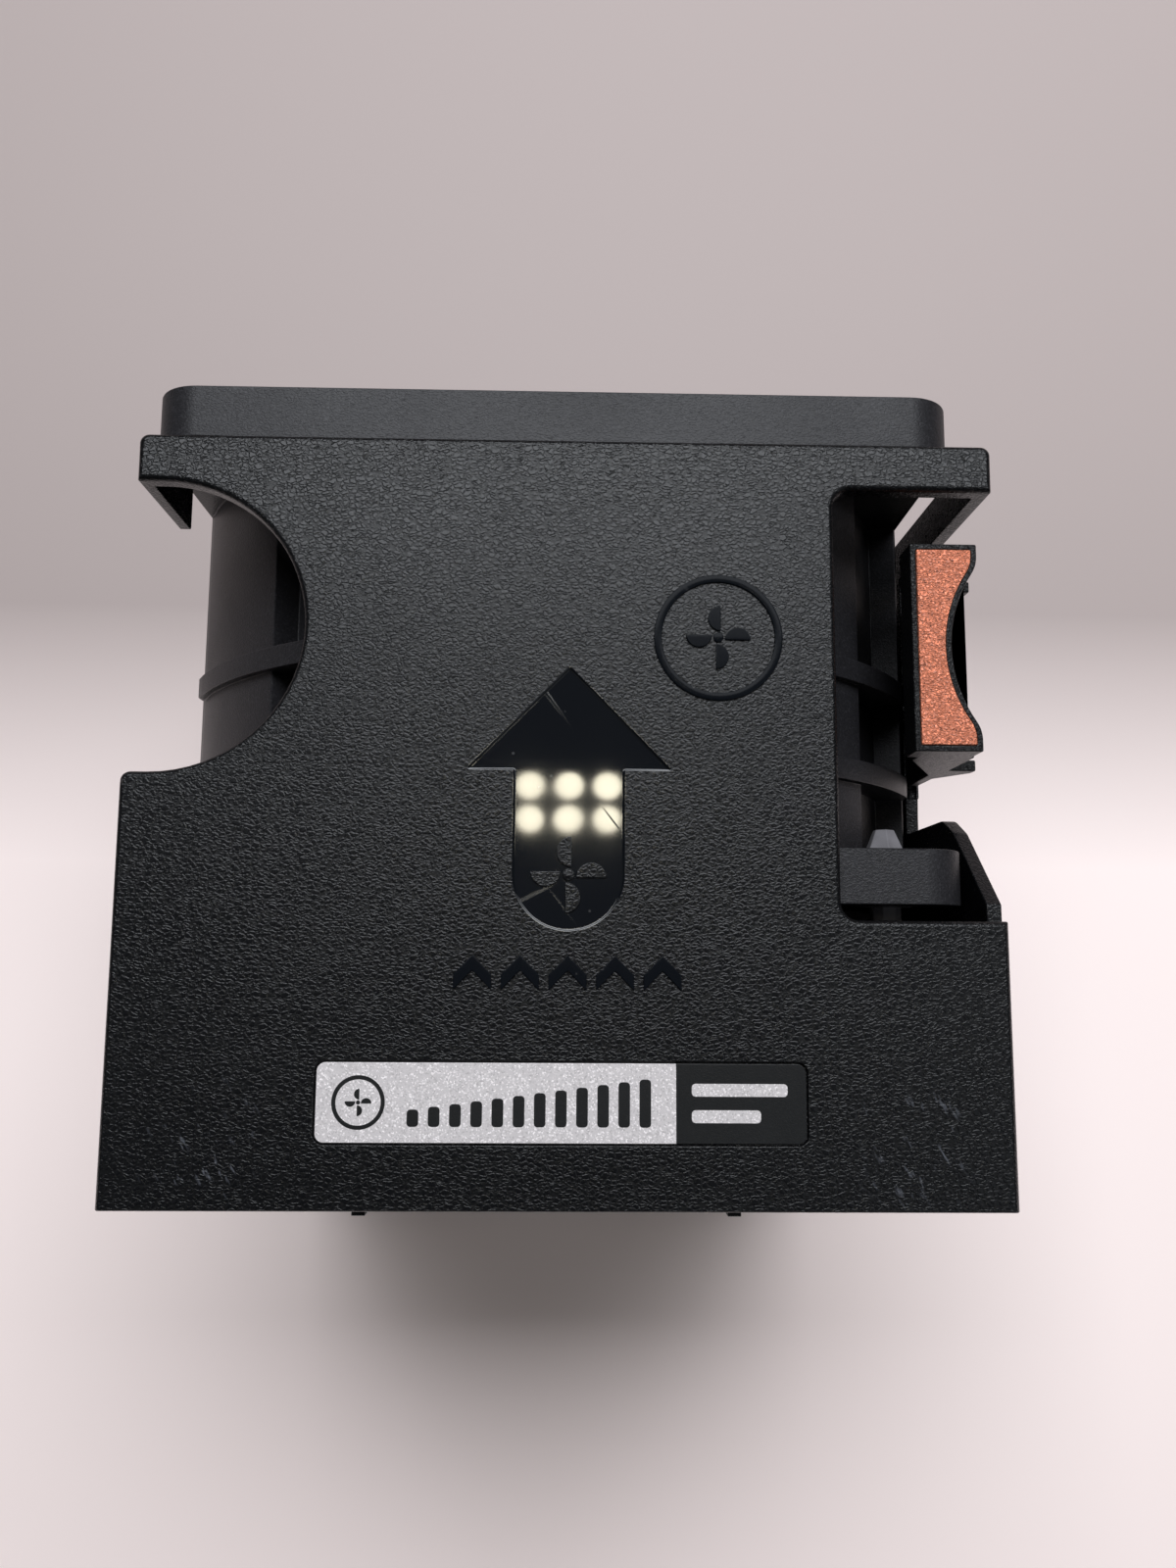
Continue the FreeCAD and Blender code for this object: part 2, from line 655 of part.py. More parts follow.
def make_label():
    body = new_body("label_plate")
    low = top - s.label_pocket
    y = front + s.label_from_front
    pad(body, "XY_Plane", low, low + s.label_thickness,
        box(-s.label_length / 2, s.label_length / 2, y, y + s.label_depth))
    soften(body, s.label_corner, lambda edge, at: along(edge, 0, 0, 1))


# ---- base -----------------------------------------------------------------------------------

def make_base_cover():
    body = new_body("base_cover")
    reach = half_width - s.wall - s.cover_play
    low = front + s.wall + s.cover_play
    high = base_back - s.wall - s.cover_play
    pad(body, "XY_Plane", 0, s.cover_thickness, box(-reach, reach, low, high))
    y = plug_y
    half_x = s.plug_width / 2 + s.cover_play
    half_y = s.plug_depth / 2 + s.cover_play
    pocket(body, "XY_Plane", 0, s.cover_thickness, box(fan_x - half_x, fan_x + half_x, y - half_y, y + half_y))
    for x, screw_y in screw_places():
        pocket(body, "XY_Plane", 0, s.cover_thickness, polygon(x, screw_y, s.cover_screw / 2 + s.fit, 8))
        pocket(body, "XY_Plane", 0, s.cover_thickness / 2, polygon(x, screw_y, s.screw_head / 2 + s.fit, 12))


def make_cover_screws():
    body = new_body("cover_screws")
    for x, y in screw_places():
        pad(body, "XY_Plane", s.cover_thickness / 2, s.screw_length, polygon(x, y, s.cover_screw / 2, 8))
        pad(body, "XY_Plane", s.fit, s.cover_thickness / 2, polygon(x, y, s.screw_head / 2, 12))


def make_connector():
    body = new_body("connector_housing")
    y = plug_y
    half_x, half_y = s.plug_width / 2, s.plug_depth / 2
    pad(body, "XY_Plane", s.plug_recess, s.plug_height,
        box(fan_x - half_x, fan_x + half_x, y - half_y, y + half_y))
    ledge = s.plug_flange
    pad(body, "XY_Plane", s.cover_thickness, s.cover_thickness + s.plug_flange,
        box(fan_x - half_x - ledge, fan_x + half_x + ledge, y - half_y, y + half_y))
    pocket(body, "XY_Plane", s.plug_recess, s.plug_height - s.plug_back,
           box(fan_x - half_x + s.plug_wall, fan_x + half_x - s.plug_wall,
               y - half_y + s.plug_wall, y + half_y - s.plug_wall))
    for x in contact_places():
        pocket(body, "XY_Plane", s.plug_height - s.plug_back, s.plug_height,
               box(x - s.contact_width / 2 - s.fit, x + s.contact_width / 2 + s.fit,
                   y - s.contact_thickness / 2 - s.fit, y + s.contact_thickness / 2 + s.fit))


def contact_places():
    """Middle of each contact across the module."""
    count = int(s.contact_count.value)
    return [fan_x + s.contact_pitch * (index - (count - 1) / 2) for index in range(count)]


def make_contacts():
    """Blades in the connector mouth, bent over its back to the wires."""
    body = new_body("connector_contacts")
    y = plug_y
    near_side = y - s.contact_thickness / 2
    low = s.plug_height - s.plug_back - s.contact_reach
    for x in contact_places():
        left, right = x - s.contact_width / 2, x + s.contact_width / 2
        pad(body, "XY_Plane", low, s.plug_height, box(left, right, near_side, y + s.contact_thickness / 2))
        pad(body, "XY_Plane", s.plug_height, s.plug_height + s.contact_thickness,
            box(left, right, near_side, wire_y + s.wire_radius))


def make_wires():
    """Wires from the connector through floor and barrel to the driver board."""
    body = new_body("lead_wires")
    solder = axis_z - board_radius + s.wire_on_board
    start = s.plug_height + s.contact_thickness
    count = int(s.contact_count.value)
    for index in range(count):
        x = fan_x + s.wire_pitch * (index - (count - 1) / 2)
        pad(body, "XY_Plane", start, solder, polygon(x, wire_y, s.wire_radius, 8))


# ---- guard and pins -------------------------------------------------------------------------

def make_guard():
    """Moulded honeycomb finger guard in a square rim, and two small lift tabs."""
    body = new_body("inlet_guard")
    low = length(s.guard_setback)
    high = low + s.guard_thickness
    left = s.wall - half_width + s.guard_play - fan_x
    right = half_width - s.wall - s.guard_play - fan_x
    under = under_plate - s.guard_play - axis_z
    pad(body, "XZ_Plane", low, high, box(left, right, floor_top + s.guard_play - axis_z, under))
    rings = int(s.guard_rings.value)
    pitch = (bore_radius - s.guard_rim + s.guard_web / 2) / (rings + 0.5)
    corner = (pitch - s.guard_web) / math.sqrt(3)
    cells = []
    for ring in range(1, rings + 1):
        for step in range(ring):
            x, z = pitch * (ring - step / 2), pitch * (step * math.sqrt(3) / 2)
            cells.append(polygon(x, z, corner, 6))
    polar(body, pocket(body, "XZ_Plane", low, high, *cells), 6)
    for side in (-1, 1):
        x = s.tab_spacing / 2 * side
        pad(body, "YZ_Plane", x - s.tab_width / 2, x + s.tab_width / 2,
            box(-s.tab_reach, high, under - s.wall, under))
    on_fan_axis(body, front)


def make_isolator_pins():
    """Rubber pins: head, neck in the cross wall, stem in the flange, faceted bulb behind it."""
    body = new_body("isolator_pins")
    flange_back = fan_front + s.flange_thickness
    for x, z in pin_places():
        pad(body, "XZ_Plane", frame_front - s.pin_head_depth, frame_front, polygon(x, z, s.pin_head, 10))
        pad(body, "XZ_Plane", frame_front, fan_front, polygon(x, z, s.pin_neck, 8))
        pad(body, "XZ_Plane", fan_front, flange_back, polygon(x, z, s.pin_stem, 8))
        loft(body, "XZ_Plane", (flange_back, polygon(x, z, s.pin_bulb, 6)),
             (flange_back + s.pin_tail, polygon(x, z, s.pin_tip, 6)))


# ---- fan ------------------------------------------------------------------------------------

def make_fan_frame():
    body = new_body("fan_frame")
    half = s.fan_size / 2
    bands = []
    for start in (s.first_band, s.second_band):
        bands += [(barrel_radius, start), (band_radius, start),
                  (band_radius, start + s.band_width), (barrel_radius, start + s.band_width)]
    turn(body, outline((bore_radius, 0), (barrel_radius, 0), *bands,
                       (barrel_radius, s.fan_length), (bore_radius, s.fan_length)))
    far = band_radius * 1.5
    pocket(body, "XZ_Plane", 0, s.fan_length, box(-far, far, -far, far), box(-half, half, -half, half))
    for low in (0, s.fan_length - s.flange_thickness):
        low = length(low)
        pad(body, "XZ_Plane", low, low + s.flange_thickness,
            box(-half, half, -half, half), circle(0, 0, bore_radius))
    soften(body, s.flange_corner, lambda edge, at: along(edge, 0, 1, 0)
           and near(abs(at.x), half) and near(abs(at.z), half))
    holes = [circle(x * hole_reach, z * hole_reach, s.screw_hole / 2) for x in (-1, 1) for z in (-1, 1)]
    pocket(body, "XZ_Plane", 0, s.fan_length, *holes)
    groove(body, outline((bore_radius - 1, 0), (bore_radius + s.mouth_flare, 0), (bore_radius, s.mouth_depth),
                         (bore_radius - 1, s.mouth_depth)))
    core_out_barrel(body)
    add_motor_base(body)
    on_fan_axis(body, fan_front)


def core_out_barrel(body):
    """Pockets beside each corner of the barrel, between the flanges and the bands that cross them."""
    inner = bore_radius + s.pocket_wall
    far = band_radius * 1.1
    ends = (length(s.flange_thickness), length(s.first_band), length(s.second_band),
            s.fan_length - s.flange_thickness)
    starts = (ends[0], ends[1] + s.band_width, ends[2] + s.band_width)
    shape = sector(inner, far, POCKET_START, POCKET_END)
    for low, high in zip(starts, ends[1:]):
        polar(body, pocket(body, "XZ_Plane", low, high, shape), 4)


def add_motor_base(body):
    """Outlet vanes, the dished disc that the bearing tube stands on, and the cable strut."""
    end = vane_end
    disc = base_face
    rim = base_rim
    inner = hub_inner
    mid_rim = inner + s.hub_wall / 2
    lean = s.vane_lean / 2
    half = s.vane_thickness / 2
    vane = pad(body, "XY_Plane", -bore_radius - s.hub_wall / 2, -mid_rim, outline(
        (lean - half, end - s.vane_length), (lean + half, end - s.vane_length),
        (half - lean, end - s.vane_inset), (-lean - half, end - s.vane_inset)))
    polar(body, vane, s.vane_count)
    turn(body, outline((0, end), (s.hub_radius, end), (s.hub_radius, rim), (inner, rim),
                       (inner, disc), (0, disc)))
    cable = wire_half + s.wire_slack
    pad(body, "XY_Plane", -bore_radius - s.hub_wall * 0.7, -mid_rim, box(-cable, cable, board_front, end))
    reach = s.wire_radius + s.wire_slack
    pocket(body, "XY_Plane", -s.fan_size / 2 - s.wall, -inner + s.wire_slack,
           box(-cable, cable, wire_station - reach, board_front))


def make_impeller():
    body = new_body("impeller")
    nose = s.hub_front
    boss = s.shaft_radius + s.fit
    turn(body, outline(
        (boss, nose), (s.hub_radius - s.hub_round, nose), (s.hub_radius, nose + s.hub_round),
        (s.hub_radius, hub_tail), (hub_inner, hub_tail), (hub_inner, nose + s.hub_wall),
        (boss, nose + s.hub_wall)))
    add_blades(body)
    on_fan_axis(body, fan_front)


def add_blades(body):
    """Blades lofted from hub to tip, patterned, then trimmed to the tip circle."""
    lead = s.hub_front + s.blade_from_front
    axial = hub_tail - s.blade_to_tail - lead
    middle = lead + axial / 2
    stations = (
        (s.hub_radius - s.hub_wall * 0.8, axial, s.root_turn),
        (bore_radius, axial - s.tip_shorter, s.tip_turn),
    )
    blade = loft(body, "XY_Plane", *[
        (height, blade_section((-turned / 2, middle - long / 2), (turned / 2, middle + long / 2),
                               s.blade_camber, s.blade_thickness, s.blade_edge))
        for height, long, turned in stations])
    polar(body, blade, s.blade_count)
    groove(body, box(tip_radius, tip_radius * 1.3, 0, s.fan_length))


def make_motor():
    """Rotor cup, magnet, stator, bearings, shaft and board, nested about the fan axis."""
    nose = s.hub_front + s.hub_wall
    yoke_outer = hub_inner - s.fit
    yoke_end = hub_tail - s.yoke_setback
    yoke_inner = yoke_outer - s.yoke_wall
    magnet_outer = yoke_inner - s.fit
    magnet_inner = magnet_outer - s.magnet_wall
    stator_outer = magnet_inner - s.air_gap
    yoke_bore = s.shaft_radius + s.fit
    turned_part("rotor_yoke", (yoke_bore, nose), (yoke_outer, nose), (yoke_outer, yoke_end),
                (yoke_inner, yoke_end), (yoke_inner, nose + s.yoke_wall),
                (yoke_bore, nose + s.yoke_wall))
    magnet_low = nose + s.magnet_setback
    turned_part("ring_magnet", (magnet_inner, magnet_low), (magnet_outer, magnet_low),
                (magnet_outer, yoke_end), (magnet_inner, yoke_end))
    rear_face = base_face - s.clip_room
    tube_low = nose + s.yoke_wall + s.tube_room
    turned_part("bearing_tube", (s.bearing_outer + s.fit, tube_low), (s.tube_radius, tube_low),
                (s.tube_radius, base_face), (s.bearing_outer + s.fit, base_face))
    make_bearing("front", tube_low)
    make_bearing("rear", rear_face - s.bearing_width)
    make_shaft(rear_face)
    make_stator(stator_outer, magnet_low + s.stack_short / 2, yoke_end - s.stack_short / 2)
    make_board()


def make_bearing(label, low):
    """Shielded ball bearing: a closed outer ring, and the race on the shaft."""
    high = low + s.bearing_width
    lip = s.bearing_inner + s.running_fit
    turned_part(f"{label}_bearing_ring", (lip, low), (s.bearing_outer, low), (s.bearing_outer, high),
                (lip, high))
    turned_part(f"{label}_bearing_race", (s.shaft_radius + s.fit, low), (s.bearing_inner, low),
                (s.bearing_inner, high), (s.shaft_radius + s.fit, high))


def make_shaft(rear_face):
    """Shaft with a groove for the clip that stops the rotor from pulling out."""
    neck = s.shaft_radius - s.clip_groove
    clip_low = rear_face + s.fit
    clip_high = clip_low + s.clip_thickness
    end = base_face - s.running_fit
    turned_part("shaft", (0, s.hub_front), (s.shaft_radius, s.hub_front), (s.shaft_radius, clip_low),
                (neck, clip_low), (neck, clip_high + s.fit), (s.shaft_radius, clip_high + s.fit),
                (s.shaft_radius, end), (0, end))
    turned_part("shaft_clip", (neck + s.fit, clip_low), (s.clip_radius, clip_low),
                (s.clip_radius, clip_high), (neck + s.fit, clip_high))


def turned_part(label, *profile):
    body = new_body(label)
    turn(body, outline(*profile))
    on_fan_axis(body, fan_front)
    return body


def make_stator(outer, low, high):
    """Four-pole stator: laminations, winding former and coils."""
    core = s.tube_radius + s.fit
    yoke = core + s.tooth_width / 2
    body = new_body("stator_core")
    turn(body, outline((core, low), (outer, low), (outer, high), (core, high)))
    slot_in = yoke
    slot_out = outer - s.shoe_depth
    half_tooth = s.tooth_width / 2
    corner = slot_out * 0.7071
    window = pocket(body, "XZ_Plane", low, high, outline(
        (half_tooth, slot_in), (slot_in, half_tooth), (slot_out - 0.6, half_tooth),
        (corner, corner - s.slot_opening / 2),
        (corner + s.shoe_depth * 2, corner + s.shoe_depth * 2 - s.slot_opening),
        (corner + s.shoe_depth * 2 - s.slot_opening, corner + s.shoe_depth * 2),
        (corner - s.slot_opening / 2, corner), (half_tooth, slot_out - 0.6)))
    polar(body, window, 4)
    on_fan_axis(body, fan_front)
    make_former(core, outer, low, high)
    make_coils(core, outer, low, high)


def make_former(core, outer, low, high):
    """Cross-shaped end caps, one arm on each tooth, that carry the coils clear of the laminations."""
    body = new_body("stator_former")
    arm = s.tooth_width
    reach = outer - s.shoe_depth
    cross = outline(
        (arm, arm), (arm, reach), (-arm, reach), (-arm, arm), (-reach, arm), (-reach, -arm),
        (-arm, -arm), (-arm, -reach), (arm, -reach), (arm, -arm), (reach, -arm), (reach, arm))
    for start, end in ((low - s.former_flange, low), (high, high + s.former_flange)):
        pad(body, "XZ_Plane", start, end, cross)
        pad(body, "XZ_Plane", start, end, polygon(0, 0, core + s.wall, 12))
        pocket(body, "XZ_Plane", start, end, polygon(0, 0, core * FLAT_ROOM, 12))
    on_fan_axis(body, fan_front)


def make_coils(core, outer, low, high):
    """Coil ends on both faces of the stator, one per tooth."""
    body = new_body("stator_windings")
    inner = core + s.coil_margin
    reach = outer - s.shoe_depth - s.coil_margin
    half = s.tooth_width
    gap = s.former_flange
    ends = ((low - gap - s.coil_margin * 2, low - gap), (high + gap, high + gap + s.coil_margin * 2))
    for start, end in ends:
        for side in (-1, 1):
            pad(body, "XZ_Plane", start, end, box(-half, half, *sorted_pair(side * inner, side * reach)))
            pad(body, "XZ_Plane", start, end, box(*sorted_pair(side * inner, side * reach), -half, half))
    on_fan_axis(body, fan_front)


def sorted_pair(first, second):
    return (first, second) if first.value < second.value else (second, first)


def make_board():
    """Driver board over the motor base, and the parts soldered to it."""
    bore = s.tube_radius + s.running_fit
    board = new_body("driver_board")
    pad(board, "XZ_Plane", board_front, board_back, polygon(0, 0, board_radius, 24), circle(0, 0, bore))
    on_fan_axis(board, fan_front)
    body = new_body("board_components")
    middle = (bore + board_radius) / 2
    chip = s.board_gap * 0.6
    for x, z, across, tall in ((1, 0, 1.6, 2.2), (-1, 0, 1.1, 1.6), (0, 1, 2.4, 1.2)):
        centre_x, centre_z = middle * x, middle * z
        pad(body, "XZ_Plane", board_back, board_back + chip,
            box(centre_x - across, centre_x + across, centre_z - tall, centre_z + tall))
    on_fan_axis(body, fan_front)


# ---- latch ----------------------------------------------------------------------------------

def head_outline(border):
    """The latch head seen from above, with the thumb scoop between its two horns, less a border."""
    low = latch_front + border
    high = latch_front + s.latch_width - border
    middle = (low + high) / 2
    right = half_width - s.horn_inset - border
    half = s.scoop_width / 2
    scoop = arc_radius(s.scoop_width, s.scoop_depth)
    return outline(
        (half_width - s.head_depth + border, low), (right, low), (right, middle - half, -scoop),
        (right, middle + half), (right, high), (half_width - s.head_depth + border, high))


def make_latch():
    """Tongue with a rolling foot, head block with the thumb scoop, and two hook plates."""
    body = new_body("latch_arm")
    low = latch_front
    high = low + s.latch_width
    inner = half_width - s.tongue_thickness
    foot_z = top - s.root_drop + s.knuckle_lift
    head_top = top - s.head_drop
    head_low = head_top - s.head_height
    bend = top - s.hook_drop - s.hook_nose
    pad(body, "XZ_Plane", low, high, outline(
        (inner, foot_z), (half_width, foot_z), (half_width, bend), (half_width - s.tongue_lean, head_low),
        (inner - s.tongue_lean, head_low), (inner, bend)))
    pad(body, "XZ_Plane", low, high, circle(half_width - s.tongue_thickness / 2, foot_z, s.tongue_thickness / 2))
    pad(body, "XY_Plane", head_low, head_top, head_outline(length(0)))
    round_horns(body, length(0))
    plate = outline(
        (half_width - s.gusset_reach, head_low), (half_width - s.gusset_reach, top - s.gusset_drop),
        (inner, top - s.gusset_foot),
        (half_width, top - s.hook_foot), (half_width + s.hook_reach, top - s.hook_drop - s.hook_nose),
        (half_width + s.hook_reach, top - s.hook_drop), (half_width, top - s.hook_drop),
        (half_width, head_low))
    for start in (low, high - s.hook_plate):
        pad(body, "XZ_Plane", start, start + s.hook_plate, plate)
    pocket(body, "XY_Plane", head_top - s.pad_depth, head_top, head_outline(s.pad_inset))
    round_horns(body, s.pad_inset)


def round_horns(body, border):
    """Ease the corners where the scoop meets the two horns."""
    middle = (latch_front + s.latch_width / 2).value
    right = (half_width - s.horn_inset - border).value
    soften(body, s.horn_round, lambda edge, at: along(edge, 0, 0, 1)
           and near(at.x, right) and near(abs(at.y - middle), s.scoop_width.value / 2))


def make_touch_pad():
    body = new_body("touch_pad")
    head_top = top - s.head_drop
    border = s.pad_inset + s.pad_play
    pad(body, "XY_Plane", head_top - s.pad_depth, head_top + s.pad_proud, head_outline(border))
    round_horns(body, border)


# ---- build ----------------------------------------------------------------------------------

def check_all():
    """Stop on any failed object, empty shape or open solid."""
    for item in doc.Objects:
        bad = [state for state in item.State if state in ("Invalid", "Error")]
        if bad:
            raise RuntimeError(f"{item.Name} ({item.Label}) is {bad}: {item.getStatusString()}")
    for part in parts:
        if part.Shape.isNull() or not part.Shape.isValid() or not part.Shape.Solids:
            raise RuntimeError(f"{part.Label} has no valid solid")


def main():
    make_carrier()
    make_label()
    make_base_cover()
    make_cover_screws()
    make_connector()
    make_contacts()
    make_wires()
    make_guard()
    make_isolator_pins()
    make_fan_frame()
    make_impeller()
    make_motor()
    make_latch()
    make_touch_pad()
    doc.recompute()
    check_all()
    os.makedirs("parts", exist_ok=True)
    for part in parts:
        part.Shape.exportStep(os.path.join("parts", part.Label + ".step"))
        print(part.Label, len(part.Shape.Solids), round(part.Shape.Volume, 2))


main()
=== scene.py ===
"""Looks of the server fan module: moulded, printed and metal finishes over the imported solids.

Every length below is in metres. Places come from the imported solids, so a solid that is resized
carries its finish, its marks and its print with it.
"""

import json
import math

import bmesh
import bpy
from bpy.props import FloatProperty, FloatVectorProperty, IntProperty, PointerProperty
from mathutils import Euler, Matrix, Vector


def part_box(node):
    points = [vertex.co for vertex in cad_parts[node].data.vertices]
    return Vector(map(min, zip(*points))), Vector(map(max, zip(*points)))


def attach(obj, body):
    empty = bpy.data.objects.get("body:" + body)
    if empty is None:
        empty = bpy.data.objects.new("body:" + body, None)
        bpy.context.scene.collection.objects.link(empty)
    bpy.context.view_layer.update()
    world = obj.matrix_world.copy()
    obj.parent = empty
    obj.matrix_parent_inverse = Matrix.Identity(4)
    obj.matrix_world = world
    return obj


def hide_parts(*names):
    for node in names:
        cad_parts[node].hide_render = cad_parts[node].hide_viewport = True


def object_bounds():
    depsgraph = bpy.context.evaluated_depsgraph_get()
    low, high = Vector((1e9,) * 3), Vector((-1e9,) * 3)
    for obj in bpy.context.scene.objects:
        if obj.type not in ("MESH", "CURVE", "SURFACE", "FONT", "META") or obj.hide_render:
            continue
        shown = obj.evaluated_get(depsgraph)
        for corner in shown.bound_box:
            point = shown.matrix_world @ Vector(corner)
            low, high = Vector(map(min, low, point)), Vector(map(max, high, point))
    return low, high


bl_info = {
    "name": "Server Fan Module",
    "version": (1, 0, 0),
    "blender": (4, 5, 0),
    "location": "View3D > Sidebar > Fan Module",
    "description": "Builds the visible pieces and finishes of a hot-swap server fan module",
    "category": "Object",
}

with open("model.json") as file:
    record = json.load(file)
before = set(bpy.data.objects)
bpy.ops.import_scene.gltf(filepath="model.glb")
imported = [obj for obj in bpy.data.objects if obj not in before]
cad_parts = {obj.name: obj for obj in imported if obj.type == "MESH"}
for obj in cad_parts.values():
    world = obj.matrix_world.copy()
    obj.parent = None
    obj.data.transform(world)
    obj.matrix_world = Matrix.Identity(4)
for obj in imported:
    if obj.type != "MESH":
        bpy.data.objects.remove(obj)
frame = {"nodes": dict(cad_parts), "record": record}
SOLID_BOX = [list(corner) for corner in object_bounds()]
MM = 0.001
FLUSH = 0.02 * MM           # levels closer than this count as one
WELD = 0.002 * MM           # corners of a solid's facets closer than this are one
WALL = 1.0 * MM             # a rim with a wall deeper than this is the face's own edge
SUNK = 0.01 * MM            # how far a mark's foot stands in the face
ROTOR_SHARE = 0.56          # radius of the rotor sign in its ring
MARK_ROUND = 0.4            # softened rim of a mark, as a share of its thickness


# ---- sizes and colours that a user may change -------------------------------------------------

class MarkSizes(bpy.types.PropertyGroup):
    """Marks on the face and print on the label."""

    film: FloatProperty(
        name="Mark Thickness", description="How far the marks stand over the grain",
        default=0.16 * MM, min=0.0, unit="LENGTH")
    stroke: FloatProperty(
        name="Mark Stroke", description="Width of the ring's line",
        default=0.56 * MM, min=0.0, unit="LENGTH")
    ring: FloatProperty(
        name="Ring Radius", description="Outer radius of the ring on the face",
        default=4.6 * MM, min=0.0, unit="LENGTH")
    chevrons: IntProperty(
        name="Chevrons", description="Flow marks in the row below the arrow", default=5, min=1)
    row_width: FloatProperty(
        name="Row Width", description="Width of the row of flow marks",
        default=16.3 * MM, min=0.0, unit="LENGTH")
    row_height: FloatProperty(
        name="Row Height", description="Height of the flow marks",
        default=2.4 * MM, min=0.0, unit="LENGTH")
    row_below: FloatProperty(
        name="Row Below Arrow", description="Middle of the flow marks below the arrow's tail",
        default=2.9 * MM, min=0.0, unit="LENGTH")
    ring_across: FloatProperty(
        name="Ring Across", description="Middle of the ring from the arrow's middle",
        default=10.55 * MM, unit="LENGTH")
    ring_above: FloatProperty(
        name="Ring Above", description="Middle of the ring from the arrow's tip, along the airflow",
        default=2.3 * MM, unit="LENGTH")
    arrow_depth: FloatProperty(
        name="Arrow Depth", description="Floor of the arrow below the face",
        default=0.25 * MM, min=0.0, unit="LENGTH")
    tail_sign: FloatProperty(
        name="Tail Sign", description="Radius of the rotor sign in the arrow's tail",
        default=2.95 * MM, min=0.0, unit="LENGTH")
    ticks: IntProperty(
        name="Label Bars", description="Rising bars printed on the label", default=12, min=1)
    silver_share: FloatProperty(
        name="Silver Share", description="Silver part of the label's width",
        default=0.733, min=0.0, max=1.0, subtype="FACTOR")


class FinishColours(bpy.types.PropertyGroup):
    """Colours of the mouldings, the label, the floor and the floor's painted shade."""

    moulding: FloatVectorProperty(
        name="Black Moulding", description="Grained plastic of the carrier and the latch",
        subtype="COLOR", default=(0.0028, 0.0030, 0.0036), min=0.0, max=1.0)
    gloss: FloatVectorProperty(
        name="Polished Black", description="Polished arrow, and the marks on the face",
        subtype="COLOR", default=(0.0042, 0.0052, 0.0070), min=0.0, max=1.0)
    fan: FloatVectorProperty(
        name="Fan Grey", description="Moulded frame of the fan",
        subtype="COLOR", default=(0.0165, 0.0161, 0.0180), min=0.0, max=1.0)
    touch: FloatVectorProperty(
        name="Touch Pad", description="Terracotta pad that marks where to press",
        subtype="COLOR", default=(0.655, 0.208, 0.115), min=0.0, max=1.0)
    silver: FloatVectorProperty(
        name="Label Silver", description="Silver side of the label",
        subtype="COLOR", default=(0.54, 0.51, 0.51), min=0.0, max=1.0)
    ink: FloatVectorProperty(
        name="Label Black", description="Black side of the label and its print",
        subtype="COLOR", default=(0.010, 0.0105, 0.011), min=0.0, max=1.0)
    rubber: FloatVectorProperty(
        name="Pin Grey", description="Rubber pins between carrier and fan",
        subtype="COLOR", default=(0.13, 0.125, 0.135), min=0.0, max=1.0)
    floor: FloatVectorProperty(
        name="Floor", description="Pale floor on the inlet side",
        subtype="COLOR", default=(1.0, 0.865, 0.83), min=0.0, max=1.0)
    # Painted shade: this darker floor tone stands for less light on the outlet side. It is not the floor's
    # own colour.
    floor_painted_shade: FloatVectorProperty(
        name="Floor Painted Shade", description="Painted shade on the floor's outlet side",
        subtype="COLOR", default=(0.405, 0.338, 0.322), min=0.0, max=1.0)


class ViewSizes(bpy.types.PropertyGroup):
    """Camera and lights."""

    height: FloatProperty(
        name="Camera Height", description="Camera above the arrow face",
        default=87.81 * MM, unit="LENGTH")
    across: FloatProperty(
        name="Camera Across", description="Camera from mid width",
        default=-0.361 * MM, unit="LENGTH")
    along: FloatProperty(
        name="Camera Along", description="Camera from the face's inlet edge, along the airflow",
        default=16.355 * MM, unit="LENGTH")
    tilt: FloatVectorProperty(
        name="Camera Tilt", description="Turns about the three axes, first to last",
        subtype="EULER", default=[math.radians(turn) for turn in (8.158, -1.344, 0.369)])
    lens: FloatProperty(name="Lens", description="Focal length in millimetres", default=29.1)
    daylight: FloatProperty(
        name="Ceiling Light", description="Power of the large soft lamp above the outlet",
        default=12.3, min=0.0, unit="POWER")
    roomlight: FloatProperty(
        name="Room Light", description="Even light from all round", default=0.06, min=0.0)


# ---- mesh helpers -----------------------------------------------------------------------------

def face_height():
    """Level of the grained arrow face."""
    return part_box("carrier_shell")[1][2]


def add_piece(name, shape, body, finish, smooth=30.0):
    """Turn a bmesh into a piece that rides on a body."""
    mesh = bpy.data.meshes.new(name)
    shape.to_mesh(mesh)
    shape.free()
    mesh.shade_smooth()
    mesh.set_sharp_from_angle(angle=math.radians(smooth))
    piece = bpy.data.objects.new(name, mesh)
    bpy.context.scene.collection.objects.link(piece)
    for item in (finish if isinstance(finish, (list, tuple)) else [finish]):
        mesh.materials.append(item)
    even = piece.modifiers.new("Even Shading", "WEIGHTED_NORMAL")
    even.keep_sharp = True
    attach(piece, body)
    return piece


def plate(shape, corners, level, thickness, corner_round=0.0, steps=4):
    """A flat outline raised to a thin plate, its corners rounded in plan."""
    before = set(shape.faces)
    verts = [shape.verts.new((x, y, level)) for x, y in corners]
    shape.faces.new(verts)
    if corner_round:
        bmesh.ops.bevel(
            shape, geom=verts, offset=corner_round, segments=steps, profile=0.5,
            affect="VERTICES", material=-1)
    face = max((item for item in shape.faces if item not in before),
               key=lambda item: item.calc_area())
    if face.normal.z < 0:
        face.normal_flip()
    face.normal_update()
    raised = bmesh.ops.extrude_face_region(shape, geom=[face])
    tops = [item for item in raised["geom"] if isinstance(item, bmesh.types.BMVert)]
    bmesh.ops.translate(shape, verts=tops, vec=(0, 0, thickness))


